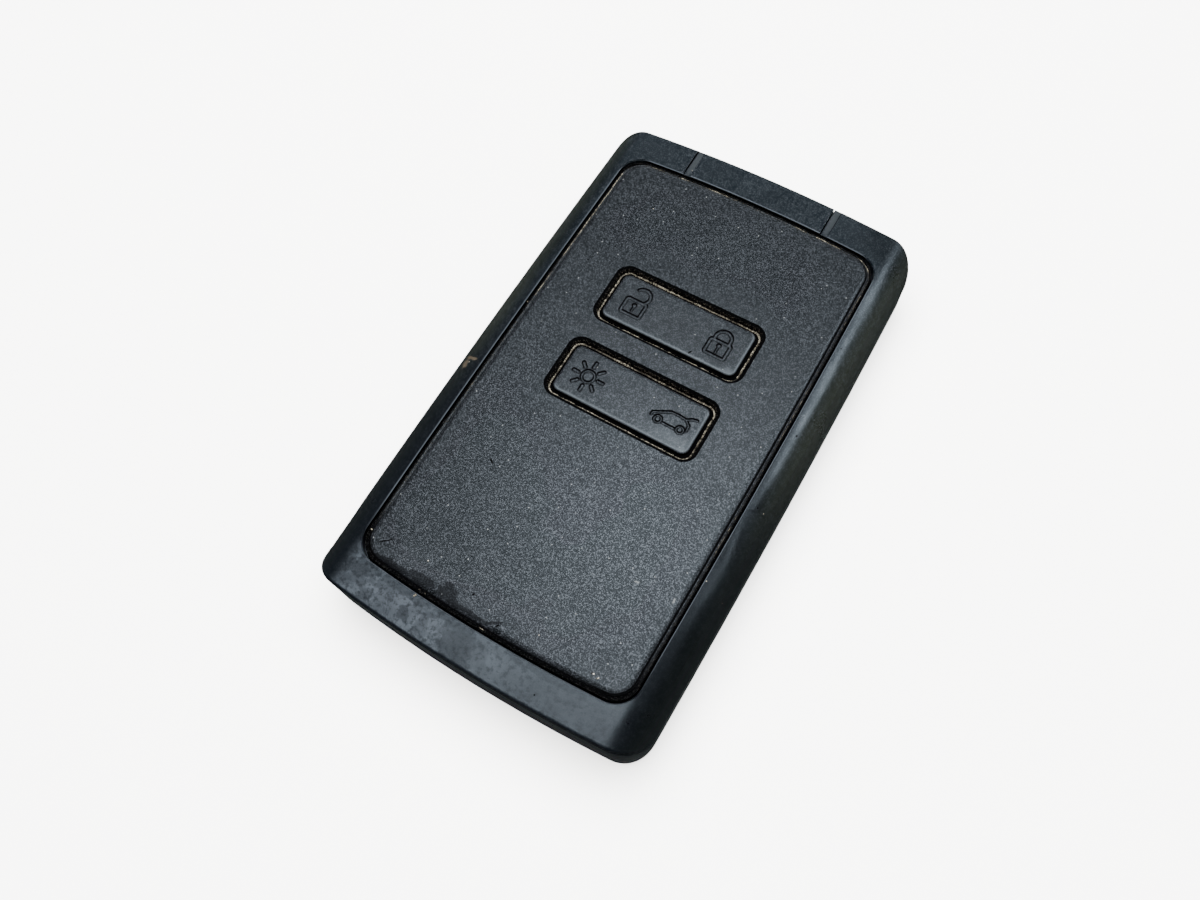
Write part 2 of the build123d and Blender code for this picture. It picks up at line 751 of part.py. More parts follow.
def release_button():
    # The press button in the rear cover, with a flange behind the wall and two prongs that
    # reach past the stem to the wings of the leaf.
    flange_low = rear_wall + button_flange_gap
    flange_high = flange_low + button_flange_thickness
    button = rounded_plate(button_length, button_width, button_corner_radius, button_recess,
                           flange_high, 0, button_y)
    button += rounded_plate(button_flange_length, button_flange_width, button_corner_radius,
                            flange_low, flange_high, 0, button_y)
    for k in range(button_ridge_count):
        y = button_y + (k - (button_ridge_count - 1) / 2) * button_ridge_pitch
        button += rounded_plate(button_length - 2 * button_corner_radius, button_ridge_width,
                                button_ridge_corner, button_recess - button_ridge_height,
                                flange_high, 0, y)
    for side in (-1, 1):
        edges = sorted((side * (button_flange_length / 2 - prong_width),
                        side * button_flange_length / 2))
        button += block(edges[0], edges[1], button_y - prong_depth / 2, button_y + prong_depth / 2,
                        flange_low, leaf_bottom - prong_gap)
    return one(button)


def catch_spring():
    # The steel leaf: a beam pegged to the chassis, a cross head with two wings for the
    # prongs, and a tooth bent down into the notch of the stem.
    head_far = button_y + leaf_head_depth / 2
    leaf = block(-leaf_beam_width / 2, leaf_beam_width / 2, catch_y - post_length, head_far,
                 leaf_bottom, leaf_top)
    leaf += block(-button_flange_length / 2, button_flange_length / 2,
                  button_y - leaf_head_depth / 2, head_far, leaf_bottom, leaf_top)
    leaf += block(-leaf_tooth_width / 2, leaf_tooth_width / 2, head_far - leaf_thickness, head_far,
                  leaf_bottom - leaf_gap - leaf_tooth_length, leaf_top)
    leaf -= drum(peg_radius + peg_clearance, 0, card_thickness, 0, catch_y - post_length / 2)
    return one(leaf)


def chip(size, x, y):
    # A flat chip with a chamfered top.
    body = block(x - size / 2, x + size / 2, y - size / 2, y + size / 2, board_top,
                 board_top + chip_height)
    return one(chamfer(body.edges().group_by(Axis.Z)[-1], chip_chamfer))


def crystal(x, y):
    body = rounded_plate(crystal_length, crystal_width, crystal_corner_radius, board_top,
                         board_top + crystal_height, x, y)
    return one(chamfer(body.edges().group_by(Axis.Z)[-1], chip_chamfer))


def passive_places():
    # Columns beside the mat, rows beyond the controller, and a column beyond the radio chip.
    steps = [(k - (passives_per_row - 1) / 2) * passive_pitch for k in range(passives_per_row)]
    beside_mat = (mat_width + passive_length) / 2 + passive_gap
    beside_radio = radio_x + (radio_size + passive_length) / 2 + passive_gap
    beyond = (controller_size + passive_width) / 2 + passive_gap
    places = []
    for side in (-1, 1):
        places += [(side * beside_mat, rocker_middle_y + step) for step in steps]
        places += [(controller_x + step, antenna_y + side * beyond) for step in steps]
        places.append((beside_radio, antenna_y + side * passive_pitch / 2))
    return places


def board_passives():
    # The small capacitors and resistors.
    half_x, half_y = passive_length / 2, passive_width / 2
    return Compound([
        block(x - half_x, x + half_x, y - half_y, y + half_y, board_top,
              board_top + passive_height).solids()[0]
        for x, y in passive_places()
    ])


def antenna(x, y):
    # The low-frequency antenna: a ferrite bobbin and the coil wound on it.
    low, high = board_top, board_top + antenna_height
    core = rounded_plate(antenna_size, antenna_size, antenna_edge_radius, low,
                         low + antenna_flange, x, y)
    core += rounded_plate(antenna_size, antenna_size, antenna_edge_radius,
                          high - antenna_flange, high, x, y)
    core += rounded_plate(antenna_post, antenna_post, antenna_edge_radius, low, high, x, y)
    coil_size = antenna_size - 2 * antenna_edge_radius
    gap = antenna_winding_gap
    coil = rounded_plate(coil_size, coil_size, antenna_edge_radius, low + antenna_flange + gap,
                         high - antenna_flange - gap, x, y)
    coil -= rounded_plate(antenna_post + 2 * gap, antenna_post + 2 * gap, antenna_edge_radius,
                          0, card_thickness, x, y)
    return one(core), one(coil)


def save(shape, name):
    export_step(shape, "parts/" + name + ".step")


save(front_frame(), "front_frame")
save(front_panel(), "front_panel")
save(rocker(lock_rocker_y), "lock_rocker")
save(rocker(light_rocker_y), "light_rocker")
save(keypad_mat(), "keypad_mat")
save(circuit_board(), "circuit_board")
save(switch_bodies(), "switch_bodies")
for name, place in zip(("unlock", "lock", "light", "tailgate"), switch_places()):
    save(plunger(*place), name + "_plunger")
save(chip(controller_size, controller_x, antenna_y), "microcontroller")
save(chip(radio_size, radio_x, antenna_y), "radio_chip")
save(crystal(radio_x, crystal_y), "crystal")
save(board_passives(), "board_passives")
core, coil = antenna(0, antenna_y)
save(core, "antenna_core")
save(coil, "antenna_coil")
save(chassis(), "chassis")
save(contact_positive(), "contact_positive")
save(contact_negative(), "contact_negative")
can, gasket, cap = coin_cell()
save(can, "cell_can")
save(gasket, "cell_gasket")
save(cap, "cell_cap")
save(rear_cover(), "rear_cover")
save(cover_clips(), "cover_clips")
save(release_button(), "release_button")
save(catch_spring(), "catch_spring")
save(key_head(), "key_head")
save(key_blade(), "key_blade")
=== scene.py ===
from functools import reduce
import json
import math
import bpy
import numpy as np
from mathutils import Matrix, Vector


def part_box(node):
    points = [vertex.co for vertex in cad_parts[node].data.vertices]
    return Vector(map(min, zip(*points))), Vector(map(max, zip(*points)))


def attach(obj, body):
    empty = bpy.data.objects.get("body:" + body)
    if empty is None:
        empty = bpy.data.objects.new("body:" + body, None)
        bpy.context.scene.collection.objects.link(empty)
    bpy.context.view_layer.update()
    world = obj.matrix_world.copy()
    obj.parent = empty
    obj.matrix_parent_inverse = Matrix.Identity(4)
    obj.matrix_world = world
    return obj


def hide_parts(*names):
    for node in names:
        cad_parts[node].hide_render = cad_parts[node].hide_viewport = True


# A worn hands-free car key lying on its back. Sizes in the dictionaries are millimetres.
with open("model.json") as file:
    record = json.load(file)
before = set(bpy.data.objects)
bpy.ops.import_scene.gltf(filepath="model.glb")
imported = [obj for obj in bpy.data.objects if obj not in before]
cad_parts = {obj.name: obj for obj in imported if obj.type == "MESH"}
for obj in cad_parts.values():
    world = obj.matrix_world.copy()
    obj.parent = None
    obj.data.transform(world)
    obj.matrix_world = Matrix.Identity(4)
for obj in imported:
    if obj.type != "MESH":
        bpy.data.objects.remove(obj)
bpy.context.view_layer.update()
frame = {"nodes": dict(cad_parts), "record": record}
mm = 0.001
print("frame loaded:", len(frame["nodes"]), "nodes")


# Small helpers

def feed(socket, value):
    # Joins a socket to another node's output, or gives it a number, place or colour of its own.
    if isinstance(value, bpy.types.NodeSocket):
        socket.id_data.links.new(value, socket)
    else:
        socket.default_value = (*value, 1.0) if socket.type == "RGBA" else value


def addNode(kind, inputs, tree=None, **settings):
    # One shader node with its settings, in a given tree or in that of the sockets which feed it.
    trees = [value.id_data for value in inputs.values() if isinstance(value, bpy.types.NodeSocket)]
    node = (tree or trees[0]).nodes.new("ShaderNode" + kind)
    for key, value in settings.items():
        setattr(node, key, value)
    for key, value in inputs.items():
        feed(node.inputs[key], value)
    return node


def startMaterial(name, settings):
    # A principled material whose plain values sit on the shader's own sockets, and its places.
    material = bpy.data.materials.new(name)
    material.use_nodes = True
    for key, value in settings.items():
        feed(material.node_tree.nodes["Principled BSDF"].inputs[key], value)
    return material, addNode("TexCoord", {}, material.node_tree).outputs["Object"]


def finishMaterial(material, colour, roughness, height, distance, metallic=0.0):
    # The sockets or values for colour, roughness and metal, and bumps of a height in millimetres.
    bump = addNode("Bump", {"Strength": 1.0, "Distance": distance * mm, "Height": height})
    for key, value in (("Base Color", colour), ("Roughness", roughness), ("Metallic", metallic),
                       ("Normal", bump.outputs["Normal"])):
        feed(material.node_tree.nodes["Principled BSDF"].inputs[key], value)
    return material


def noiseOf(place, size, detail=4.0, roughness=0.55, distortion=0.0):
    # Noise whose cells are about size millimetres across.
    return addNode("TexNoise", {
        "Vector": place, "Scale": 1 / (size * mm), "Detail": detail, "Roughness": roughness,
        "Distortion": distortion}).outputs["Fac"]


def remap(value, low, high, outLow=0.0, outHigh=1.0):
    # Carries low..high to outLow..outHigh by a smooth step and clamps it there.
    return addNode("MapRange", {
        "Value": value, "From Min": low, "From Max": high, "To Min": outLow, "To Max": outHigh},
        interpolation_type="SMOOTHSTEP").outputs["Result"]


def noiseCut(place, noise, span):
    # A noise carried over a span.
    return remap(noiseOf(place, *noise), *span)


def mathOf(operation, *values):
    # One sum of sockets or numbers.
    return addNode("Math", dict(enumerate(values)), operation=operation).outputs["Value"]


def times(*values):
    # The product of sockets and numbers.
    return reduce(lambda one, other: mathOf("MULTIPLY", one, other), values)


def largest(*values):
    # The largest of sockets and numbers.
    return reduce(lambda one, other: mathOf("MAXIMUM", one, other), values)


def lessened(mask, share):
    # One less a share of a mask.
    return mathOf("SUBTRACT", 1.0, times(mask, share))


def mixColours(share, first, second):
    # Two colours, or a colour over a socket, mixed by a share.
    return addNode("Mix", {0: share, 6: first, 7: second}, data_type="RGBA").outputs[2]


def layered(colour, *layers):
    # A colour under layers, each of a mask and its own colour.
    return reduce(lambda under, layer: mixColours(layer[0], under, layer[1]), layers, colour)


def blendValues(share, first, second):
    # A socket's value carried to a number by a share.
    return addNode("Mix", {0: share, 2: first, 3: second}, data_type="FLOAT").outputs[0]


def lengthOf(vector):
    # How long a vector is.
    return addNode("VectorMath", {0: vector}, operation="LENGTH").outputs["Value"]


def inMillimetres(place):
    # A place, given in metres, in millimetres.
    return addNode("VectorMath", {0: place, "Scale": 1 / mm},
                   operation="SCALE").outputs["Vector"]


def axesOf(vector):
    # The x, y and z of a vector, or the three tones of a colour.
    return tuple(addNode("SeparateXYZ", {0: vector}).outputs)


def markOf(place, name):
    # What a mesh says of itself at each point under a name.
    return addNode("Attribute", {}, place.id_data, attribute_name=name).outputs["Fac"]


patchHeight, patchDepth = 10.4, 1.6  # where the ovals' centres lie, and how deep they reach
spotEdge = (0.12, 0.12, 0.3)  # of the small round spots


def patchMask(place, x, y, reachX, reachY, turn, ragged, size, soft):
    # One in a ragged oval and nought outside it: the distance in oval radii plus noise, cut at one.
    oval = addNode("Mapping", {
        "Vector": place, "Location": (x * mm, y * mm, patchHeight * mm),
        "Rotation": (0, 0, math.radians(turn)),
        "Scale": (reachX * mm, reachY * mm, patchDepth * mm)}, vector_type="TEXTURE")
    rough = times(mathOf("SUBTRACT", noiseOf(place, size), 0.5), 4 * ragged)
    far = mathOf("ADD", lengthOf(oval.outputs["Vector"]), rough)
    return remap(far, 1 - soft, 1 + soft, 1.0, 0.0)


def ovalMask(place, patch):
    # The largest of the masks of a set of ovals, times the share of the whole set.
    masks = [patchMask(place, *oval, *patch["edge"]) for oval in patch["ovals"]]
    return times(largest(*masks), patch["share"])


def spotMask(place, spots):
    # One on every small round spot, given as its centre and radius.
    return largest(*[patchMask(place, x, y, radius, radius, 0.0, *spotEdge) for x, y, radius in spots])


def edgeDistance(place, centre, half, corner, bow=(0.0, 0.0), fold=0.0):
    # Millimetres outside a rounded rectangle: the length of what is left of the place's own two
    # distances past the corner's centre, less the corner. Two such rectangles are one when folded.
    x, y = axesOf(inMillimetres(place))[:2]
    x, y = [mathOf("ABSOLUTE", mathOf("SUBTRACT", value, middle))
            for value, middle in ((x, centre[0]), (y, centre[1]))]
    if fold:
        y = mathOf("ABSOLUTE", mathOf("SUBTRACT", y, fold))
    if bow[0] or bow[1]:
        bowX = times(y, y, bow[0] / half[1] ** 2)
        bowY = times(x, x, bow[1] / half[0] ** 2)
        x, y = mathOf("ADD", x, bowX), mathOf("ADD", y, bowY)
    overX, overY = [largest(mathOf("SUBTRACT", value, reach - corner), 0.0)
                    for value, reach in ((x, half[0]), (y, half[1]))]
    past = addNode("CombineXYZ", {"X": overX, "Y": overY}).outputs["Vector"]
    return mathOf("SUBTRACT", lengthOf(past), corner)


def gridFaces(rows, columns, start=0, closeColumns=False):
    # The quads of a grid of points whose row and column numbers run up.
    last = columns if closeColumns else columns - 1
    row, column = np.meshgrid(np.arange(rows - 1), np.arange(last), indexing="ij")
    here = row * columns + column
    across = row * columns + (column + 1) % columns
    return np.stack([here, across, across + columns, here + columns], -1).reshape(-1, 4) + start


def meshFrom(name, points, faces):
    # A mesh from places in millimetres and the numbers of each face's corners.
    mesh = bpy.data.meshes.new(name)
    mesh.from_pydata((points * mm).tolist(), [], faces)
    return mesh


def markPoints(mesh, name, values, others=0.0):
    # Writes a value for each point of a mesh, the same one for all the points after these.
    every = np.full(len(mesh.vertices), others, np.float32)
    every[:values.size] = values.ravel()
    mesh.attributes.new(name, "FLOAT", "POINT").data.foreach_set("value", every)


creaseAngle = 42.0


def finishPiece(name, mesh, material, body, node=None):
    # Smooth shading with crisp creases, a finish, a body to ride on and the node it stands for.
    mesh.validate()
    mesh.shade_smooth()
    mesh.set_sharp_from_angle(angle=math.radians(creaseAngle))
    mesh.materials.append(material)
    piece = bpy.data.objects.new(name, mesh)
    bpy.context.scene.collection.objects.link(piece)
    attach(piece, body)
    if node:
        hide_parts(node)


# Camera, floor and light

view = dict(
    place=(28.57, -44.83, 120.11),
    across=(0.858586, 0.510354, -0.048674),
    down=(0.454291, -0.80138, -0.389114),
    ahead=(-0.237592, 0.311976, -0.919903),
    focalLength=29.247, sensor=36.0, seenBetween=(5.0, 10000.0),
)


def buildCamera():
    # The photograph's own place and turn: its picture axes are the camera's axes.
    data = bpy.data.cameras.new("camera")
    data.sensor_width = view["sensor"]
    data.lens = view["focalLength"]
    data.clip_start, data.clip_end = [far * mm for far in view["seenBetween"]]
    camera = bpy.data.objects.new("camera", data)
    bpy.context.scene.collection.objects.link(camera)
    right, up, back = Vector(view["across"]), -Vector(view["down"]), -Vector(view["ahead"])
    turn = Matrix((right, up, back)).transposed().to_4x4()
    camera.matrix_world = Matrix.Translation(Vector(view["place"]) * mm) @ turn
    bpy.context.scene.camera = camera


studio = dict(
    floorSize=4000.0, floorColour=(0.88, 0.88, 0.875), floorRoughness=0.9, floorSpecular=0.2,
    worldColour=(0.82, 0.92, 0.96), worldStrength=0.088, aim=(0.0, 0.0, 0.0),
    lights=(
        # name, place, width and depth, watts, colour, seen in reflections
        ("ceilingLight", (-42.0, 92.0, 415.0), (165.0, 165.0), 1.08, (0.9, 0.95, 1.0), True),
        ("windowLight", (205.0, 215.0, 345.0), (190.0, 120.0), 1.02, (0.88, 0.94, 1.0), True),
        ("backWall", (-250.0, 500.0, 370.0), (560.0, 300.0), 0.3, (0.88, 0.94, 1.0), True),
        ("lowLight", (-140.0, 620.0, 85.0), (380.0, 120.0), 0.4, (0.88, 0.94, 1.0), True),
        ("roomLight", (-60.0, 60.0, 560.0), (760.0, 760.0), 41.0, (1.0, 0.99, 0.97), False),
    ),
)


def buildStudio():
    # A flat pale floor under the card and a dim cool world. The card mirrors four soft lights, but
    # neither the floor nor the broad fifth light, which only brightens what it falls on.
    half = studio["floorSize"] / 2
    corners = np.array([(-half, -half, 0), (half, -half, 0), (half, half, 0), (-half, half, 0)])
    mesh = meshFrom("floor", corners, [(0, 1, 2, 3)])
    floor = bpy.data.objects.new("floor", mesh)
    bpy.context.scene.collection.objects.link(floor)
    mesh.materials.append(startMaterial("paleFloor", {
        "Base Color": studio["floorColour"], "Roughness": studio["floorRoughness"],
        "Specular IOR Level": studio["floorSpecular"]})[0])
    floor.visible_glossy = False
    world = bpy.data.worlds.new("studio")
    world.use_nodes = True
    background = world.node_tree.nodes["Background"]
    feed(background.inputs["Color"], studio["worldColour"])
    feed(background.inputs["Strength"], studio["worldStrength"])
    bpy.context.scene.world = world
    for name, place, size, watts, colour, mirrored in studio["lights"]:
        data = bpy.data.lights.new(name, "AREA")
        data.shape = "ELLIPSE"
        data.size, data.size_y = size[0] * mm, size[1] * mm
        data.energy = watts
        data.color = colour
        light = bpy.data.objects.new(name, data)
        light.visible_glossy = mirrored
        bpy.context.scene.collection.objects.link(light)
        away = (Vector(place) - Vector(studio["aim"])).normalized()
        light.matrix_world = (Matrix.Translation(Vector(place) * mm)
                              @ away.to_track_quat("Z", "Y").to_matrix().to_4x4())


buildCamera()
buildStudio()
print("camera, floor and light set")


# The two rocking bars with their engraved signs

bar = dict(
    capHalf=(9.68, 3.52), capCorner=1.0, capTop=10.45, capRoll=0.2,
    crown=0.05, crownPowers=(40, 20),
    stepHalf=(10.15, 3.95), stepCorner=1.2, stepTop=9.85, stepRoll=0.08,
    flangeHalf=(11.0, 4.618), flangeCorner=1.35, flangeTop=8.65, flangeBottom=8.15,
    # the signs' walls are painted black as shade over wallShade and wallReach
    cutDepth=0.15, cutWall=0.12, wallShade=0.105, wallReach=1.25,
    # the roll is painted black as shade from this share of it down, softened over this height
    rollShade=(0.5, 0.04),
    # the painted highlight line: how far in, how strong at the front and the right, where that comes in
    highlightPlace=0.22, highlightShares=(0.8, 0.7), highlightFrom=0.9, highlightSoft=0.5,
    # painted sheen patches: x, y, their reach each way, how far
    worn=dict(lockBar=((8.9, -2.9, 0.7, 0.4, 0.6),),
              lightBar=((7.4, -2.3, 3.4, 1.2, 0.36), (8.9, -2.9, 0.7, 0.4, 0.7))),
    rimSteps=(0.0, 0.006, 0.018, 0.036, 0.06, 0.09, 0.125, 0.165, 0.21, 0.3),
    fine=0.047, coarse=0.25, signColumns=(3.0, 9.1), signRows=(-2.6, 2.75),
    pipX=6.5, pipRadius=1.3, pipDrop=0.11, pinRadius=0.45, pinLength=0.9, pinHeight=8.4,
    drumSides=24, drumSunk=0.1,
)
signs = dict(
    stroke=0.215,
    openBody=(-6.25, -0.73, 1.38, 1.11, 0.22), openShackle=(-6.02, 1.32, 1.07, -48.0, 142.0),
    openHole=(-6.28, -0.36, 0.3, -1.22),
    shutBody=(6.08, -0.76, 1.4, 1.08, 0.22), shutShackle=(6.1, 0.88, 1.06, 0.0, 180.0),
    shutHole=(6.08, -0.28, 0.3, -1.36), holeSlot=0.14,
    sunCentre=(-6.22, 0.0), sunRing=0.84, sunStroke=0.17, rayReach=(1.42, 2.12),
    rays=8, rayStroke=0.215,
    carStroke=0.155,
    carRoof=((3.28, -0.62), (3.3, -0.22), (4.18, 0.22), (5.3, 0.82), (6.35, 0.88),
             (7.45, 0.78), (8.12, 0.18), (8.16, -0.52)),
    carSill=((4.95, -1.0), (6.75, -1.0)), carLid=((7.45, 0.78), (8.18, 1.22), (8.72, 1.32)),
    wheels=((4.3, -0.81), (7.4, -0.81)), wheelRing=0.46, wheelStroke=0.145,
)


def gradedLine(breaks, steps):
    # Places from the first break to the last, each interval cut evenly into steps of about its own.
    places = [np.linspace(a, b, max(2, int(math.ceil((b - a) / step)) + 1))[:-1]
              for a, b, step in zip(breaks[:-1], breaks[1:], steps)]
    return np.concatenate(places + [np.array(breaks[-1:])])


def roundedGrid(across, along, half, corner):
    # Carries a rectangle of places to a rounded one: where both places lie in a corner's square,
    # u = a sqrt(1 - b b / 2) and v = b sqrt(1 - a a / 2) bend that square into a quarter disc.
    a, b = np.meshgrid(across, along, indexing="ij")
    inX, inY = half[0] - corner, half[1] - corner
    overX = np.clip(np.abs(a) - inX, 0, corner) / corner
    overY = np.clip(np.abs(b) - inY, 0, corner) / corner
    x = np.minimum(np.abs(a), inX) + corner * overX * np.sqrt(1 - overY ** 2 / 2)
    y = np.minimum(np.abs(b), inY) + corner * overY * np.sqrt(1 - overX ** 2 / 2)
    return np.sign(a) * x, np.sign(b) * y


def boxDistance(x, y, cx, cy, halfX, halfY, corner):
    # Signed distance to a rounded rectangle: past its core's corner less its radius, negative inside.
    dx, dy = np.abs(x - cx) - halfX + corner, np.abs(y - cy) - halfY + corner
    outside = np.hypot(np.maximum(dx, 0), np.maximum(dy, 0))
    return outside + np.minimum(np.maximum(dx, dy), 0) - corner


def lineDistance(x, y, ax, ay, bx, by):
    # Distance to a straight stroke: to the nearest place a + t (b - a) with t held within 0..1.
    dx, dy = bx - ax, by - ay
    t = np.clip(((x - ax) * dx + (y - ay) * dy) / (dx * dx + dy * dy), 0, 1)
    return np.hypot(x - ax - t * dx, y - ay - t * dy)


def arcDistance(x, y, cx, cy, radius, start, end):
    # Distance to an arc: across its circle within its span, and to its nearer end elsewhere.
    start, end = math.radians(start), math.radians(end)
    middle, halfSpan = (start + end) / 2, (end - start) / 2
    turn = np.arctan2(y - cy, x - cx) - middle
    turn = (turn + math.pi) % (2 * math.pi) - math.pi
    onArc = np.abs(np.hypot(x - cx, y - cy) - radius)
    ends = [np.hypot(x - cx - radius * math.cos(a), y - cy - radius * math.sin(a)) for a in (start, end)]
    return np.where(np.abs(turn) <= halfSpan, onArc, np.minimum(*ends))


def pathDistance(x, y, points):
    # Distance to a bent stroke: to the nearest of its straight ones.
    return np.minimum.reduce([lineDistance(x, y, *a, *b) for a, b in zip(points[:-1], points[1:])])


def padlock(x, y, body, shackle, hole, legs):
    # An outlined padlock: its body and shackle are strokes, its keyhole is solid.
    cx, cy, halfX, halfY, corner = body
    parts = [np.abs(boxDistance(x, y, cx, cy, halfX, halfY, corner)) - signs["stroke"],
             arcDistance(x, y, *shackle) - signs["stroke"]]
    if legs:
        sx, sy, radius = shackle[:3]
        parts += [lineDistance(x, y, sx + side * radius, sy, sx + side * radius, cy + halfY)
                  - signs["stroke"] for side in (-1, 1)]
    hx, hy, radius, low = hole
    parts += [np.hypot(x - hx, y - hy) - radius,
              lineDistance(x, y, hx, hy, hx, low) - signs["holeSlot"]]
    return np.minimum.reduce(parts)


def lockSigns(x, y):
    # An open padlock at one end and a shut one at the other.
    return np.minimum(padlock(x, y, signs["openBody"], signs["openShackle"], signs["openHole"], False),
                      padlock(x, y, signs["shutBody"], signs["shutShackle"], signs["shutHole"], True))


def lightSigns(x, y):
    # A shining lamp at one end and a car with its tailgate up at the other. Each wheel is cut out
    # of the car's strokes before its own ring is drawn.
    cx, cy = signs["sunCentre"]
    parts = [np.abs(np.hypot(x - cx, y - cy) - signs["sunRing"]) - signs["sunStroke"]]
    near, far = signs["rayReach"]
    for k in range(signs["rays"]):
        turn = 2 * math.pi * k / signs["rays"]
        c, s = math.cos(turn), math.sin(turn)
        parts.append(lineDistance(x, y, cx + near * c, cy + near * s, cx + far * c, cy + far * s)
                     - signs["rayStroke"])
    parts += [pathDistance(x, y, signs[part]) - signs["carStroke"]
              for part in ("carRoof", "carSill", "carLid")]
    drawn = np.minimum.reduce(parts)
    for wheelX, wheelY in signs["wheels"]:
        wheel = np.hypot(x - wheelX, y - wheelY)
        drawn = np.maximum(drawn, signs["wheelRing"] + signs["wheelStroke"] - wheel)
        drawn = np.minimum(drawn, np.abs(wheel - signs["wheelRing"]) - signs["wheelStroke"])
    return drawn


def capLines():
    # The cap's columns and rows: close together at the rim and over the signs, wide elsewhere.
    hx, hy = bar["capHalf"]
    signX, signY = bar["signColumns"], bar["signRows"]
    fine, coarse = bar["fine"], bar["coarse"]
    steps = np.array(bar["rimSteps"])
    edge = steps[-1]
    columns = gradedLine((-hx + edge, -signX[1], -signX[0], signX[0], signX[1], hx - edge),
                         (coarse, fine, coarse, fine, coarse))
    rows = gradedLine((-hy + edge, signY[0], signY[1], hy - edge), (coarse, fine, coarse))
    return [np.concatenate([-reach + steps[:-1], line, reach - steps[-2::-1]])
            for line, reach in ((columns, hx), (rows, hy))]


def capSurface(x, y, inward, cut):
    # The cap falls off in a quarter circle at its rim, by the crown times |x / hx| ^ 40 +
    # |y / hy| ^ 20, and by a smooth step of 3 s s - 2 s s s into the signs. Beside its height: how
    # near the signs' walls a place is, and how far down the roll, both to be painted black as shade.
    roll = bar["capRoll"]
    z = bar["capTop"] - roll + np.sqrt(roll ** 2 - (roll - np.clip(inward, 0, roll)) ** 2)
    shadeFrom, shadeSoft = bar["rollShade"]
    rolledOffShade = np.clip((bar["capTop"] - roll * shadeFrom - z) / shadeSoft, 0, 1)
    hx, hy = bar["capHalf"]
    powerX, powerY = bar["crownPowers"]
    z -= bar["crown"] * (np.abs(x / hx) ** powerX + np.abs(y / hy) ** powerY)
    sign = cut(x, y)
    share = np.clip(0.5 - sign / bar["cutWall"], 0, 1)
    z -= bar["cutDepth"] * share * share * (3 - 2 * share)
    shadedWall = np.clip(bar["wallReach"] - np.abs(sign) / bar["wallShade"], 0, 1)
    return z, shadedWall, rolledOffShade


def capHighlights(x, y, inward, patches):
    # Painted highlight on the cap: a line inside its front and right rims, one less the distance from
    # it, and bells of exp(-u u - v v) over the painted sheen patches.
    hx, hy = bar["capHalf"]
    front, right = bar["highlightShares"]
    line = np.clip(1 - np.abs(inward / bar["highlightPlace"] - 1), 0, 1)
    highlight = line * np.maximum(front * np.clip((-y - hy + bar["highlightFrom"]) / bar["highlightSoft"], 0, 1),
                            right * np.clip((x - hx + bar["highlightFrom"]) / bar["highlightSoft"], 0, 1))
    for patchX, patchY, reachX, reachY, amount in patches:
        u, v = (x - patchX) / reachX, (y - patchY) / reachY
        highlight = np.maximum(highlight, amount * np.exp(-u ** 2 - v ** 2))
    return highlight


def rimOf(grid):
    # The values round a grid's rim, once.
    return np.concatenate([grid[:, 0], grid[-1, 1:], grid[-2::-1, -1], grid[0, -2:0:-1]])


def drumMesh(centre, radius, length, alongY, start):
    # A closed drum: two rings of radius (cos a, sin a) joined by quads, and a cap on each.
    turn = np.arange(bar["drumSides"]) * 2 * math.pi / bar["drumSides"]
    ring = np.stack([radius * np.cos(turn), radius * np.sin(turn)], -1)
    ends = [np.column_stack([ring, np.full(len(ring), side * length / 2)]) for side in (-1, 1)]
    points = np.concatenate(ends)
    if alongY:
        points = points[:, [1, 2, 0]]
    here = np.arange(len(ring))
    after = np.roll(here, -1)
    walls = np.stack([here, after, after + len(ring), here + len(ring)], -1) + start
    caps = [(here[::-1] + start).tolist(), (here + len(ring) + start).tolist()]
    return points + np.array(centre), walls.tolist() + caps


def drumsOf(side):
    # The pip under one end of a bar and the pin at one side: centre, radius, length, along y.
    sunk, pip, pin = bar["drumSunk"], bar["pipDrop"], bar["pinLength"]
    return (((side * bar["pipX"], 0.0, bar["flangeBottom"] - pip / 2 + sunk), bar["pipRadius"],
             pip + 2 * sunk, False),
            ((0.0, side * (bar["flangeHalf"][1] + pin / 2 - sunk), bar["pinHeight"]), bar["pinRadius"],
             pin + 2 * sunk, True))


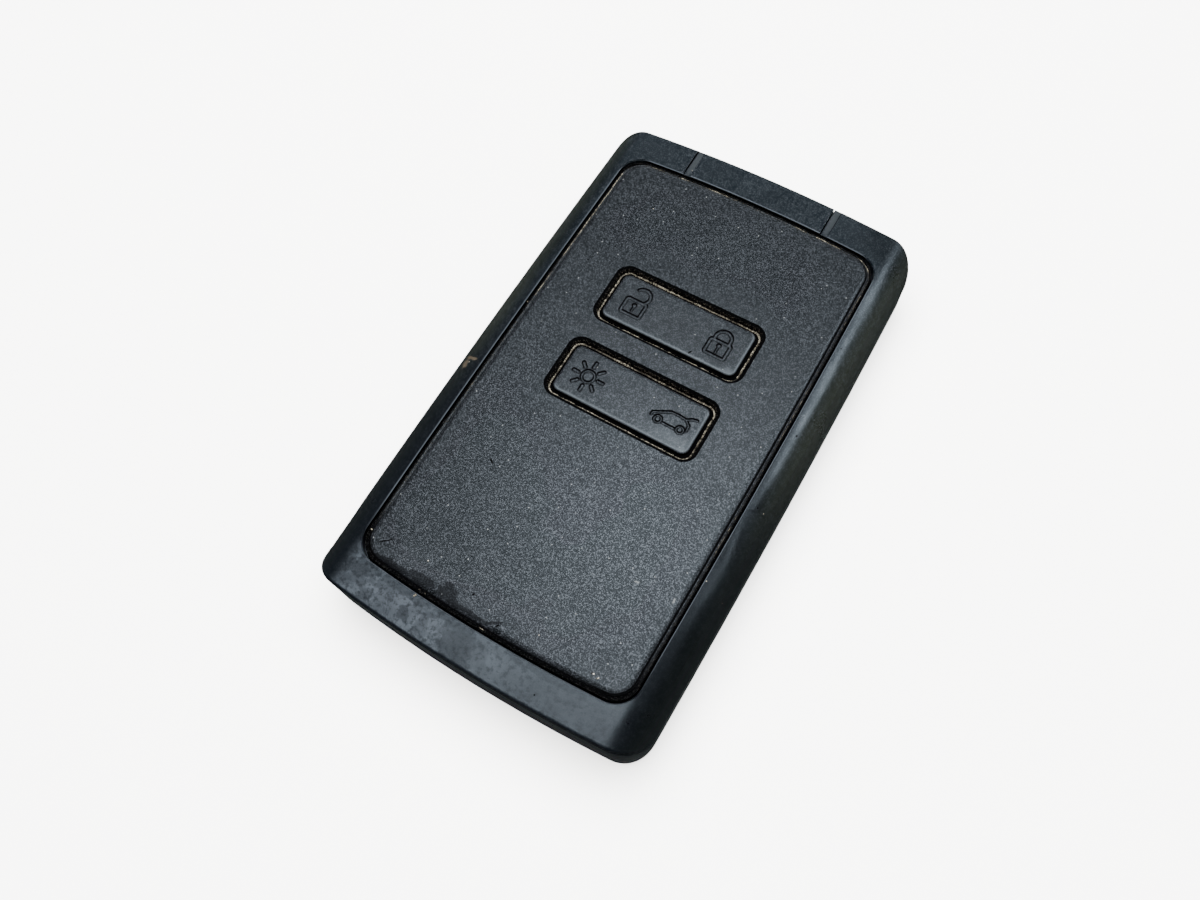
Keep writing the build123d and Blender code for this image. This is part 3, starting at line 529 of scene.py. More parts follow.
def buildBar(name, node, cut):
    # The cap's grid, rings of rounded rectangles from its rim down to the flange, pips and pins.
    hx, hy = bar["capHalf"]
    columns, rows = capLines()
    x, y = roundedGrid(columns, rows, bar["capHalf"], bar["capCorner"])
    inward = -boxDistance(x, y, 0, 0, hx, hy, bar["capCorner"])
    z, shadedWall, rolledOffShade = capSurface(x, y, inward, cut)
    points = [np.stack([x, y, z], -1).reshape(-1, 3)]
    nx, ny = x.shape
    faces = [gridFaces(nx, ny)[:, ::-1]]
    last = rimOf(np.arange(nx * ny).reshape(nx, ny))
    roll = bar["stepRoll"]
    sx, sy = bar["stepHalf"]
    rings = (
        (bar["capHalf"], bar["capCorner"], bar["stepTop"] + roll),
        ((hx + roll, hy + roll), bar["capCorner"] + roll, bar["stepTop"]),
        ((sx - roll, sy - roll), bar["stepCorner"] - roll, bar["stepTop"]),
        ((sx, sy), bar["stepCorner"], bar["stepTop"] - roll),
        ((sx, sy), bar["stepCorner"], bar["flangeTop"]),
        (bar["flangeHalf"], bar["flangeCorner"], bar["flangeTop"]),
        (bar["flangeHalf"], bar["flangeCorner"], bar["flangeBottom"]),
    )
    start = nx * ny
    for half, corner, height in rings:
        grids = roundedGrid(columns * half[0] / hx, rows * half[1] / hy, half, corner)
        ring = start + np.arange(len(last))
        points.append(np.stack([rimOf(grids[0]), rimOf(grids[1]), np.full(len(ring), height)], -1))
        faces.append(np.stack([last, ring, np.roll(ring, -1), np.roll(last, -1)], -1))
        last, start = ring, start + len(ring)
    points.append(np.array([[0.0, 0.0, bar["flangeBottom"]]]))
    faces.append(np.stack([last, np.full(len(last), start), np.roll(last, -1)], -1))
    faces = [face for block in faces for face in block.tolist()]
    start += 1
    for drum in drumsOf(-1) + drumsOf(1):
        drumPoints, drumFaces = drumMesh(*drum, start)
        points.append(drumPoints)
        faces += drumFaces
        start += len(drumPoints)
    low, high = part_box(node)
    middleY = (low[1] + high[1]) / 2 / mm
    mesh = meshFrom(name, np.concatenate(points) + (0, middleY, 0), faces)
    # painted highlight along the cap's front and right rims and painted sheen patches, none on the sign
    # walls
    markPoints(mesh, "paintedHighlight", capHighlights(x, y, inward, bar["worn"][name]) * (1 - shadedWall))
    # the sign walls, the rolled-off rim and every point below the cap are painted black as shade
    markPoints(mesh, "cutWall", np.maximum(shadedWall, rolledOffShade), 1.0)
    finishPiece(name, mesh, finishes["soft_touch_bar"], node, node)


# Finishes

# A noise is its size, detail, roughness and distortion, and its span may follow. A span is the two
# values or places between which something comes in, and its strengths there if not nought and one.
# An oval is its centre, reach each way and turn; their edge is how ragged, the rags' size, how soft.

shell = dict(
    specular=0.3, tint=(0.84, 0.93, 1.0), roughness=(0.27, 0.36),
    clouds=(5.0, 5.0, 0.6), cloudSpan=(0.3, 0.7), grain=(0.1, 3.0, 0.6), grainHeight=0.0022,
    colour=(0.0006, 0.0008, 0.0012),
    topColour=(0.0004, 0.0009, 0.0015), topAlong=(-12.0, 30.0),
    # painted olive reflection down the flanks, stronger towards the top
    flankReflectionColour=(0.0036, 0.0043, 0.0032),
    sideAcross=(19.4, 21.8), sideAlong=(-14.0, 8.0, 0.2, 1.0),
    paleColour=(0.0188, 0.0216, 0.0244), paleGrain=((0.16, 1.0), (0.51, 0.66)),
    paleAlong=(-20.0, 26.0, 0.1, 0.5),
    # the frame's outline and the panel's opening: centre, half sizes, corner, bows
    outline=((0.0, 0.0), (23.0, 38.5), 4.2, (0.35, 1.13)),
    opening=((0.0, 0.0), (19.15, 33.9), 3.4, (0.27, 0.85)),
    film=dict(
        colour=(0.0136, 0.0164, 0.02), roughness=0.45, share=0.86,
        along=(-29.5, -34.2), across=(19.5, 17.3), fade=(-9.0, 11.0, 1.0, 0.36),
        fromEdge=(-0.25, -0.4),
        blotches=((2.2, 8.0, 0.68, 0.4), (0.4, 0.6, 0.7, 1.0)),
        freckles=((0.45, 4.0, 0.6), (0.38, 0.52, 0.3, 1.0)),
        drops=((3.0, 9.0, 0.72, 0.8), (0.475, 0.495)), dropAcross=(1.5, -1.0),
        dropShare=0.7,
        stainShare=0.55, stains=dict(edge=(0.75, 1.0, 0.1), share=1.0, ovals=(
            (-9.5, -34.0, 4.4, 0.75, 0.0), (-1.3, -36.6, 2.2, 2.0, 15.0),
            (-16.8, -34.4, 1.7, 1.0, 30.0), (-9.1, -36.3, 0.8, 1.0, 20.0),
            (-3.0, -34.1, 2.6, 0.8, 0.0), (-14.2, -36.8, 0.9, 0.8, 0.0),
            (9.5, -34.2, 5.0, 0.5, 0.0))),
        blooms=dict(edge=(0.45, 1.4, 0.14), share=0.24, ovals=(
            (-5.4, -36.3, 2.4, 1.2, 15.0), (-13.2, -36.2, 1.8, 0.9, 15.0),
            (4.6, -35.9, 2.4, 1.2, 0.0))),
    ),
    # painted highlight along the opening's chamfered lip, weaker along the foot
    lipHighlightColour=(0.034, 0.04, 0.047), lipSpan=(0.13, 0.0), lipShare=0.8,
    lipAlong=(-30.0, -24.0, 0.25, 1.0), lipHeight=(10.36, 10.48),
    # the opening's wall, painted black as shade
    wallSpan=(0.08, 0.03, 0.0, 0.9), wallHeight=(10.46, 10.34),
    scuffs=dict(edge=(0.5, 0.5, 0.3), share=0.8, colour=(0.02, 0.016, 0.011), ovals=(
        (-20.9, -4.6, 0.95, 0.28, 0.0), (-21.2, -5.6, 0.4, 0.8, 20.0))),
    scuffRoughness=0.2,
    # paler strips down the floors of the head's reveals
    hazes=dict(edge=(0.15, 0.3, 0.3), share=1.0, colour=(0.0065, 0.0075, 0.0085), ovals=(
        (10.36, 36.4, 0.42, 2.6, 0.0), (-10.4, 36.4, 0.4, 2.6, 0.0))),
    # the walls of the head's reveals, painted black as shade
    shadedCreases=dict(edge=(0.06, 0.3, 0.3), share=1.0, ovals=(
        (-10.88, 36.4, 0.06, 2.6, 0.0), (9.86, 36.4, 0.05, 2.6, 0.0),
        (10.88, 36.4, 0.05, 2.6, 0.0))),
    # painted shade: patches that mirror less, darkening the top right corner and both side bands
    dulls=dict(edge=(0.15, 3.0, 0.45), share=0.34, ovals=(
        (19.4, 36.6, 4.6, 3.6, -30.0), (21.0, -29.0, 2.4, 11.0, 0.0),
        (-21.2, 22.0, 1.7, 15.0, 0.0))),
    flecks=((-20.8, -5.2, 0.05), (22.0, -16.7, 0.05), (-10.15, 34.85, 0.06),
               (21.2, -4.9, 0.04), (19.3, -15.7, 0.05)),
    fleckColour=(0.2, 0.18, 0.15),
    pits=((19.65, 19.3, 0.1), (20.15, 5.8, 0.13), (20.3, -4.8, 0.1), (9.0, -36.6, 0.1)),
    pitShare=0.8,
    # black for the painted shade in the reveals' creases and on the opening's wall, and for pits
    blackColour=(0.0012, 0.0012, 0.0013), blackRoughness=0.85, blackMetal=0.9,
)


def greasyFilm(place, x, y):
    # Dried grease on the lower band: blotches times freckles, less a share of the stains and of
    # the dried drops at the left, more where it blooms, and none near the outline.
    film = shell["film"]
    outer = edgeDistance(place, *shell["outline"])
    spread = times(remap(y, *film["along"]), remap(outer, *film["fromEdge"]),
                   remap(mathOf("ABSOLUTE", x), *film["across"]))
    blotches, freckles = noiseCut(place, *film["blotches"]), noiseCut(place, *film["freckles"])
    drops = times(noiseCut(place, *film["drops"]), remap(x, *film["dropAcross"]), film["dropShare"])
    stain = largest(ovalMask(place, film["stains"]), drops)
    bloom = mathOf("ADD", ovalMask(place, film["blooms"]), film["share"])
    broken = times(blotches, freckles, remap(x, *film["fade"]))
    return times(spread, broken, lessened(stain, film["stainShare"]), bloom)


def shellPlastic(name):
    # Gloss-worn black plastic: pale grains, a painted olive reflection on its flanks, film, a painted
    # highlight along the opening's lip, scuffs, flecks and paler strips in the head's reveals. Painted
    # shade makes the reveals' creases and the opening's wall black, pits are black, and painted-shade
    # patches mirror less.
    look = shell
    material, place = startMaterial(name, {
        "Specular IOR Level": look["specular"], "Specular Tint": look["tint"]})
    x, y, z = axesOf(inMillimetres(place))
    fine = noiseOf(place, *look["grain"])
    # painted olive reflection on the flanks, stronger towards the top
    flankReflection = times(remap(mathOf("ABSOLUTE", x), *look["sideAcross"]), remap(y, *look["sideAlong"]))
    pale = times(noiseCut(place, *look["paleGrain"]), remap(y, *look["paleAlong"]))
    grease = greasyFilm(place, x, y)
    edge = edgeDistance(place, *look["opening"])
    # painted highlight along the opening's lip
    lipHighlight = times(remap(edge, *look["lipSpan"]), remap(y, *look["lipAlong"]),
                remap(z, *look["lipHeight"]), look["lipShare"])
    scuff = ovalMask(place, look["scuffs"])
    pit = times(spotMask(place, look["pits"]), look["pitShare"])
    # the opening's wall painted black as shade
    shadedWall = times(remap(z, *look["wallHeight"]), remap(edge, *look["wallSpan"]))
    # painted shade in the reveals' creases and on the opening's wall, with the black of pits
    shadeAndMarks = largest(ovalMask(place, look["shadedCreases"]), pit, shadedWall)
    colour = mixColours(remap(y, *look["topAlong"]), look["colour"], look["topColour"])
    fleck, paleBand = spotMask(place, look["flecks"]), ovalMask(place, look["hazes"])
    colour = layered(colour, (flankReflection, look["flankReflectionColour"]), (pale, look["paleColour"]),
                     (grease, look["film"]["colour"]), (lipHighlight, look["lipHighlightColour"]),
                     (scuff, look["scuffs"]["colour"]), (fleck, look["fleckColour"]),
                     (paleBand, look["hazes"]["colour"]), (shadeAndMarks, look["blackColour"]))
    roughness = noiseCut(place, look["clouds"], look["cloudSpan"] + look["roughness"])
    roughness = largest(roughness, times(grease, look["film"]["roughness"]))
    roughness = mathOf("ADD", roughness, times(scuff, look["scuffRoughness"]))
    roughness = blendValues(shadeAndMarks, roughness, look["blackRoughness"])
    # painted shade and marks, and the painted-shade patches, mirror less as near-black metal
    metallic = times(largest(shadeAndMarks, ovalMask(place, look["dulls"])), look["blackMetal"])
    return finishMaterial(material, colour, roughness, fine, look["grainHeight"], metallic)


softPaint = dict(
    specular=0.278, barSpecular=0.297, tint=(0.84, 0.93, 1.0), roughness=(0.35, 0.372),
    clouds=(4.0, 6.0, 0.62), cloudSpan=(0.3, 0.7), cloudShare=(0.35, 0.65, 0.0, 0.04),
    grain=(0.135, 1.0, 0.5), grainHeight=0.0088, grainSpan=(0.48, 0.66),
    grainShare=0.8, grainShine=0.12, grainMiddle=0.4,
    colour=(0.0002, 0.0003, 0.0004), paleColour=(0.0122, 0.0136, 0.016),
    smudges=dict(edge=(0.55, 1.0, 0.15), share=0.42, colour=(0.0026, 0.003, 0.0036), ovals=(
        (-6.1, -31.7, 1.2, 1.2, 20.0), (-9.4, -32.0, 1.9, 0.6, 0.0),
        (-3.2, -32.5, 4.0, 0.3, 0.0), (-13.6, -32.2, 2.4, 0.35, 0.0),
        (0.6, -32.2, 0.9, 0.25, 35.0))),
    tickBlack=0.9,
    ticks=dict(edge=(0.2, 0.2, 0.3), share=1.0, colour=(0.0022, 0.0022, 0.0025), ovals=(
        (-10.5, -15.5, 0.35, 0.1, -35.0), (3.3, 9.6, 0.1, 0.28, -25.0),
        (-15.9, -30.3, 0.9, 0.07, 40.0), (-15.2, 15.2, 0.1, 0.1, 0.0),
        (-3.2, -30.5, 0.12, 0.12, 0.0), (1.2, -32.2, 0.25, 0.09, 50.0))),
    rubs=dict(edge=(0.5, 0.2, 0.3), share=0.6, ovals=(
        (12.4, -19.8, 0.34, 0.1, 12.0), (8.8, -11.6, 0.09, 0.16, 0.0),
        (17.2, -19.6, 0.14, 0.34, 0.0), (1.5, -20.9, 0.09, 0.09, 0.0))),
    specks=((-10.1, -29.8, 0.07), (13.5, -31.3, 0.09), (14.2, -31.4, 0.06),
               (5.9, -30.7, 0.05), (-11.6, 26.5, 0.05)),
    speckColour=(0.16, 0.15, 0.13),
    fleckSpacing=2.9, fleckReach=(0.035, 0.018), fleckTones=(0.45, 0.9),
    # the second colour is the bars' painted highlight along their front and right rims
    fleckColour=(0.05, 0.053, 0.054), capHighlightColour=(0.018, 0.021, 0.024),
    # the two windows as one, folded over the line between them, and the panel's own outline
    window=((0.0, 6.47), (10.3, 4.07), 1.35, (0.0, 0.0), 6.1), windowRoll=(0.6, 0.54),
    panel=((0.0, 0.0), (18.54, 33.29), 2.8, (0.27, 0.85)), panelRoll=(0.08, 0.22),
    # rolled rims of the windows and the panel, two lines down the right and one along the foot, painted
    # black as shade
    rightAcross=(9.0, 16.0), rightInner=((-0.44, -0.33, 0.0, 0.85), (-0.12, -0.24)),
    rightOuter=(-0.14, 0.02, 0.0, 0.6), footAlong=(-24.0, -31.0), footRoll=(-0.42, -0.05),
    lint=((0.17, 3.0, 0.6), (0.5, 0.64)), lintWindow=(0.42, 0.05),
    lintPanel=(-0.25, 0.1, 0.0, 0.45), lintShare=0.8, lintColour=(0.02, 0.017, 0.012),
    footHaze=(-22.0, -31.0, 0.0, 0.12),
    # black for the painted shade on rims, sign walls and under the caps, and for smudges and ticks
    blackColour=(0.0016, 0.0016, 0.0018), blackRoughness=0.85, blackMetal=0.9,
)


def rimShadeAndLint(place, x, y):
    # Where the rolled rims are, painted black as shade, with two lines down the right side and a broad
    # one along the foot, and where lint lies on them.
    look = softPaint
    window = edgeDistance(place, *look["window"])
    rim = edgeDistance(place, *look["panel"])
    inner, outer = look["rightInner"]
    lines = largest(times(remap(rim, *inner), remap(rim, *outer)), remap(rim, *look["rightOuter"]))
    roll = largest(remap(window, *look["windowRoll"]), remap(rim, *look["panelRoll"]),
                   times(remap(x, *look["rightAcross"]), lines),
                   times(remap(y, *look["footAlong"]), remap(rim, *look["footRoll"])))
    lintPlace = largest(remap(window, *look["lintWindow"]), remap(rim, *look["lintPanel"]))
    return roll, times(noiseCut(place, *look["lint"]), lintPlace)


def scatteredFlecks(place):
    # The middles of wide cells, as bright as each cell's own tone.
    cells = addNode("TexVoronoi", {
        "Vector": place, "Scale": 1 / (softPaint["fleckSpacing"] * mm)}, voronoi_dimensions="2D")
    tone = axesOf(cells.outputs["Color"])[0]
    return times(remap(cells.outputs["Distance"], *softPaint["fleckReach"]),
                 remap(tone, *softPaint["fleckTones"]))


def paintedPanel(name, specular, isBar=False):
    # Soft-touch paint: pale grains, clouds, smudges, ticks, specks and flecks. A panel has rims painted
    # black as shade, with lint, and haze along its foot; a bar has sign walls and all below its cap
    # painted black as shade, and a painted highlight along its front and right rims with painted sheen
    # patches.
    look = softPaint
    material, place = startMaterial(name, {"Specular IOR Level": specular, "Specular Tint": look["tint"]})
    clouds = noiseOf(place, *look["clouds"])
    fine = noiseOf(place, *look["grain"])
    grains = remap(fine, *look["grainSpan"])
    share = mathOf("ADD", times(grains, look["grainShare"]), remap(clouds, *look["cloudShare"]))
    smudge, tick = ovalMask(place, look["smudges"]), ovalMask(place, look["ticks"])
    fleck = largest(scatteredFlecks(place), ovalMask(place, look["rubs"]))
    colour = layered(mixColours(share, look["colour"], look["paleColour"]),
                     (smudge, look["smudges"]["colour"]), (tick, look["ticks"]["colour"]),
                     (spotMask(place, look["specks"]), look["speckColour"]), (fleck, look["fleckColour"]))
    shadeAndMarks = largest(smudge, times(tick, look["tickBlack"]))
    if isBar:
        # painted highlight along the bars' front and right rims, and painted sheen patches
        colour = mixColours(markOf(place, "paintedHighlight"), colour, look["capHighlightColour"])
        # painted shade on the bars' sign walls, rolled-off rims and all below the caps
        shadeAndMarks = largest(shadeAndMarks, markOf(place, "cutWall"))
    else:
        x, y = axesOf(inMillimetres(place))[:2]
        # rims painted black as shade, less where lint lies
        roll, lint = rimShadeAndLint(place, x, y)
        shadeAndMarks = times(largest(shadeAndMarks, roll), lessened(lint, look["lintShare"]))
        paleBand = times(remap(y, *look["footHaze"]), remap(clouds, *look["cloudSpan"]))
        colour = layered(colour, (paleBand, look["paleColour"]), (lint, look["lintColour"]))
    colour = mixColours(shadeAndMarks, colour, look["blackColour"])
    shine = times(mathOf("SUBTRACT", grains, look["grainMiddle"]), look["grainShine"])
    roughness = mathOf("SUBTRACT", remap(clouds, *look["cloudSpan"], *look["roughness"]), shine)
    roughness = blendValues(shadeAndMarks, roughness, look["blackRoughness"])
    metallic = times(shadeAndMarks, look["blackMetal"])
    return finishMaterial(material, colour, roughness, fine, look["grainHeight"], metallic)


moulded = dict(
    specular=0.4, grainSpan=(0.35, 0.7), cloudGrains=14, cloudShare=(0.3, 0.7, 0.5, 1.0),
    shineSpan=(0.3, 0.7), shineSpread=(-0.04, 0.06),
    slots=dict(
        # slot: colour, paler colour, roughness, grain size, grain height
        rear_plastic=((0.0065, 0.007, 0.008), (0.0105, 0.0115, 0.0125), 0.42, 0.22, 0.01),
        silicone=((0.06, 0.064, 0.07), (0.085, 0.09, 0.096), 0.62, 0.5, 0.006),
        plunger_plastic=((0.55, 0.53, 0.48), (0.66, 0.64, 0.58), 0.45, 0.3, 0.003),
        chip_resin=((0.011, 0.011, 0.012), (0.024, 0.024, 0.026), 0.55, 0.1, 0.008),
        ceramic=((0.3, 0.2, 0.11), (0.52, 0.42, 0.28), 0.45, 0.25, 0.004),
        ferrite=((0.02, 0.019, 0.018), (0.045, 0.042, 0.04), 0.6, 0.15, 0.012),
        tray_plastic=((0.013, 0.014, 0.015), (0.022, 0.023, 0.025), 0.5, 0.3, 0.01),
        gasket_plastic=((0.5, 0.49, 0.45), (0.6, 0.59, 0.55), 0.5, 0.3, 0.003),
        button_plastic=((0.0085, 0.009, 0.01), (0.015, 0.016, 0.0175), 0.36, 0.14, 0.006),
    ),
)
sheet = dict(
    stains=((2.5, 5.0, 0.6), (0.45, 0.75)), stainShare=0.7, shineSpan=(0.3, 0.7),
    shineSpread=(-0.07, 0.12), height=0.004,
    slots=dict(
        # slot: colour, stained colour, roughness, brushing along x and y
        switch_metal=((0.62, 0.61, 0.58), (0.48, 0.46, 0.42), 0.3, (0.15, 1.5)),
        nickel_can=((0.66, 0.65, 0.62), (0.52, 0.5, 0.46), 0.26, (0.12, 0.9)),
        contact_steel=((0.6, 0.58, 0.52), (0.42, 0.38, 0.3), 0.3, (1.2, 0.12)),
        cell_steel=((0.66, 0.66, 0.65), (0.5, 0.49, 0.47), 0.24, (2.0, 0.1)),
        spring_steel=((0.5, 0.5, 0.5), (0.36, 0.34, 0.32), 0.32, (0.1, 1.6)),
        blade_steel=((0.6, 0.6, 0.59), (0.44, 0.43, 0.41), 0.28, (0.08, 2.4)),
    ),
)


def shineOf(value, look, roughness):
    # Roughness that a value moves by the look's spread about its middle.
    return remap(value, *look["shineSpan"], *[roughness + spread for spread in look["shineSpread"]])


def mouldedPlastic(name, colour, pale, roughness, grain, height):
    # Moulded plastic or resin: grains of two tones, cloudy shine and a bump of the same grain.
    material, place = startMaterial(name, {"Specular IOR Level": moulded["specular"]})
    fine = noiseOf(place, grain, 4.0, 0.6)
    clouds = noiseOf(place, grain * moulded["cloudGrains"], 4.0, 0.6)
    share = times(remap(fine, *moulded["grainSpan"]), remap(clouds, *moulded["cloudShare"]))
    colour = mixColours(share, colour, pale)
    return finishMaterial(material, colour, shineOf(clouds, moulded, roughness), fine, height)


def brushedMetal(name, colour, stained, roughness, brushing):
    # Sheet metal: noise drawn out along the brushing, in shine and height, and dull stains.
    material, place = startMaterial(name, {})
    drawn = addNode("Mapping", {
        "Vector": place, "Scale": (1 / brushing[0], 1 / brushing[1], 1.0)}).outputs["Vector"]
    lines = noiseOf(drawn, 1.0, 4.0, 0.65)
    share = times(noiseCut(place, *sheet["stains"]), sheet["stainShare"])
    colour = mixColours(share, colour, stained)
    return finishMaterial(material, colour, shineOf(lines, sheet, roughness), lines, sheet["height"], 1.0)


board = dict(
    coat=0.4, maskColour=(0.006, 0.052, 0.022), trackColour=(0.02, 0.11, 0.045),
    padColour=(0.62, 0.5, 0.3), padSpacing=2.3, padScatter=0.8, padSpan=(0.13, 0.1),
    trackWidth=0.01, trackLength=5.2, trackRow=0.7, trackOffset=0.37,
    grain=(0.4, 4.0, 0.6), shineSpan=(0.3, 0.7, 0.28, 0.4), trackHeight=0.8, height=0.01,
)


def boardLaminate(name):
    # Green solder mask over copper: ranks of tracks in two directions and rows of plated holes.
    material, place = startMaterial(name, {"Coat Weight": board["coat"]})
    track = addNode("TexBrick", {
        "Vector": inMillimetres(place), "Scale": 1.0, "Mortar Size": board["trackWidth"],
        "Brick Width": board["trackLength"], "Row Height": board["trackRow"]},
        offset=board["trackOffset"]).outputs["Fac"]
    hole = addNode("TexVoronoi", {
        "Vector": place, "Scale": 1 / (board["padSpacing"] * mm), "Randomness": board["padScatter"]})
    pad = remap(hole.outputs["Distance"], *board["padSpan"])
    colour = mixColours(track, board["maskColour"], board["trackColour"])
    colour = mixColours(pad, colour, board["padColour"])
    fine = noiseOf(place, *board["grain"])
    height = mathOf("ADD", times(track, board["trackHeight"]), fine)
    return finishMaterial(material, colour, remap(fine, *board["shineSpan"]), height, board["height"])


winding = dict(
    coat=0.5, band=0.9, distortion=0.4, detail=2.0, darkColour=(0.28, 0.1, 0.035),
    brightColour=(0.74, 0.36, 0.15), shineSpan=(0.0, 1.0, 0.42, 0.26), height=0.05,
)


def copperWinding(name):
    # Enamelled wire laid side by side: fine bands across the coil, each with its own tone.
    material, place = startMaterial(name, {"Coat Weight": winding["coat"]})
    band = addNode("TexWave", {
        "Vector": place, "Scale": 1 / (winding["band"] * mm), "Distortion": winding["distortion"],
        "Detail": winding["detail"]}, bands_direction="Z").outputs["Fac"]
    colour = mixColours(band, winding["darkColour"], winding["brightColour"])
    shine = remap(band, *winding["shineSpan"])
    return finishMaterial(material, colour, shine, band, winding["height"], 1.0)


dirt = dict(
    specular=0.2, grain=(0.16, 3.0, 0.7), grainSpan=(0.42, 0.6),
    darkColour=(0.0026, 0.0023, 0.0019), paleColour=(0.132, 0.122, 0.096),
    shineSpan=(0.3, 0.7, 0.85, 0.95), height=0.05,
)


def settledDust(name):
    # Lint and skin dust: tan grains among dark brown ones, paler where more of it lies.
    material, place = startMaterial(name, {"Specular IOR Level": dirt["specular"]})
    grains = noiseOf(place, *dirt["grain"])
    share = times(remap(grains, *dirt["grainSpan"]), markOf(place, "heap"))
    colour = mixColours(share, dirt["darkColour"], dirt["paleColour"])
    return finishMaterial(material, colour, remap(grains, *dirt["shineSpan"]), grains, dirt["height"])


def joinedName(words):
    # words_like_this to wordsLikeThis
    first, *others = words.split("_")
    return first + "".join(word.title() for word in others)


dustMaterial = settledDust("settledDust")
finishes = {
    "frame_plastic": shellPlastic("framePlastic"),
    "soft_touch_panel": paintedPanel("panelPaint", softPaint["specular"]),
    "soft_touch_bar": paintedPanel("barPaint", softPaint["barSpecular"], isBar=True),
    "board_laminate": boardLaminate("boardLaminate"), "copper_wire": copperWinding("copperWinding")}
for slot, look in moulded["slots"].items():
    finishes[slot] = mouldedPlastic(joinedName(slot), *look)
for slot, look in sheet["slots"].items():
    finishes[slot] = brushedMetal(joinedName(slot), *look)
for part in frame["record"]["subparts"]:
    for slot in frame["nodes"][part["node"]].material_slots:
        slot.material = finishes[part["material_slot"]]
print("finishes made:", len(finishes))

buildBar("lockBar", "lock_rocker", lockSigns)
buildBar("lightBar", "light_rocker", lightSigns)
print("bars built")


# Dust in the windows and round the panel, and a few crumbs

dustRuns = dict(
    # piece: body, slot, centre, half sizes, corner, bows, height of its floor, width, height,
    # least load, and the places (x, y, reach, load) where more lies
    lockDust=("lock_rocker", "soft_touch_bar", (0.0, 12.5), (10.16, 4.02), 1.28, (0.0, 0.0),
        9.85, 0.27, 0.2, 0.36, (
        (-7.0, 16.4, 2.6, 0.6), (-3.5, 16.4, 1.6, 0.4), (9.3, 15.9, 1.2, 0.8), (0.8, 16.4, 1.0, 0.3),
        (-10.0, 12.5, 2.6, 0.45), (-9.6, 9.2, 1.2, 0.5), (10.0, 11.8, 1.8, 0.55), (9.6, 9.2, 1.3, 0.6),
        (-5.0, 8.5, 2.2, 1.0), (0.5, 8.5, 2.0, 0.8), (5.0, 8.5, 2.4, 1.0))),
    lightDust=("light_rocker", "soft_touch_bar", (0.0, 0.3), (10.16, 4.02), 1.28, (0.0, 0.0),
        9.85, 0.25, 0.18, 0.22, (
        (-9.4, 3.7, 1.2, 0.6), (-3.7, 4.3, 1.5, 0.75), (1.8, 4.3, 0.8, 0.35), (7.0, 4.3, 0.8, 0.4),
        (9.5, 3.7, 1.4, 0.6), (10.0, 0.8, 1.8, 0.45), (-10.0, 1.2, 2.2, 0.4), (-9.6, -3.3, 1.5, 0.6),
        (9.6, -3.2, 1.3, 0.4), (-2.0, -3.7, 1.0, 0.4), (-6.0, -3.7, 2.2, 0.8), (4.8, -3.7, 3.0, 0.7))),
    grooveDust=("card", "soft_touch_panel", (0.0, 0.0), (18.63, 33.38), 2.88, (0.27, 0.85),
        10.2, 0.14, 0.07, 0.0, (
        (-18.6, 28.6, 1.2, 1.3), (-18.6, 25.0, 2.4, 0.9), (-18.6, 20.0, 2.4, 1.3),
        (-18.6, 15.6, 1.0, 1.1), (-18.6, 9.5, 1.8, 0.8), (-18.5, -8.0, 1.5, 0.2),
        (-14.2, 33.1, 1.0, 0.45), (-10.4, 33.2, 0.7, 1.0), (-4.8, 33.3, 2.2, 0.6), (7.2, 33.3, 1.4, 0.4),
        (10.3, 33.2, 0.7, 1.0), (12.2, 33.1, 0.9, 0.5), (17.0, 32.3, 1.2, 0.7), (18.6, 26.0, 5.0, 0.22),
        (18.6, 8.0, 9.0, 0.2), (18.6, -12.0, 8.0, 0.22), (-0.3, -33.3, 0.3, 0.4),
        (-8.7, -33.2, 0.8, 0.3))),
)
dust = dict(
    seed=11, step=0.035, columns=7, sunk=0.012,
    # patches: steps to a cell and share; their gain, what is taken off, the most
    patches=((22, 0.45), (5, 0.55)), patchLoad=(2.6, 0.25, 1.1),
    wander=0.035, wanderCell=24, widthLoad=(0.55, 0.45), lumpLoad=(0.55, 0.9),
    paleLoad=(0.35, 1.1), leastPale=0.05,
)


def roundedPath(half, corner, step):
    # Places and outward directions at even steps along a rounded rectangle: each is on one of four
    # sides or four quarter circles, found by its length along the outline.
    sides = np.array([2 * (half[1] - corner), 2 * (half[0] - corner)] * 2)
    arc = math.pi / 2 * corner
    starts = np.concatenate([[0], np.cumsum(sides + arc)])
    count = int(starts[-1] / step)
    along = np.arange(count) * starts[-1] / count
    leg = np.clip(np.searchsorted(starts, along, side="right") - 1, 0, 3)
    rest = along - starts[leg]
    angle = leg * math.pi / 2 + np.clip(rest - sides[leg], 0, arc) / corner
    back = sides[leg] - np.minimum(rest, sides[leg])
    cornerX = np.array([1, -1, -1, 1])[leg] * (half[0] - corner)
    cornerY = np.array([1, 1, -1, -1])[leg] * (half[1] - corner)
    outX, outY = np.cos(angle), np.sin(angle)
    baseX, baseY = np.cos(leg * math.pi / 2), np.sin(leg * math.pi / 2)
    return (cornerX + corner * outX + back * baseY, cornerY + corner * outY - back * baseX,
            outX, outY)


def smoothNoise(generator, count, cell):
    # A closed line of random values, each cell joined to the next by a cosine.
    knots = generator.random(max(4, int(count / cell)))
    place = np.arange(count) * len(knots) / count
    left = place.astype(int)
    part = (1 - np.cos((place - left) * math.pi)) / 2
    return knots[left] * (1 - part) + knots[(left + 1) % len(knots)] * part


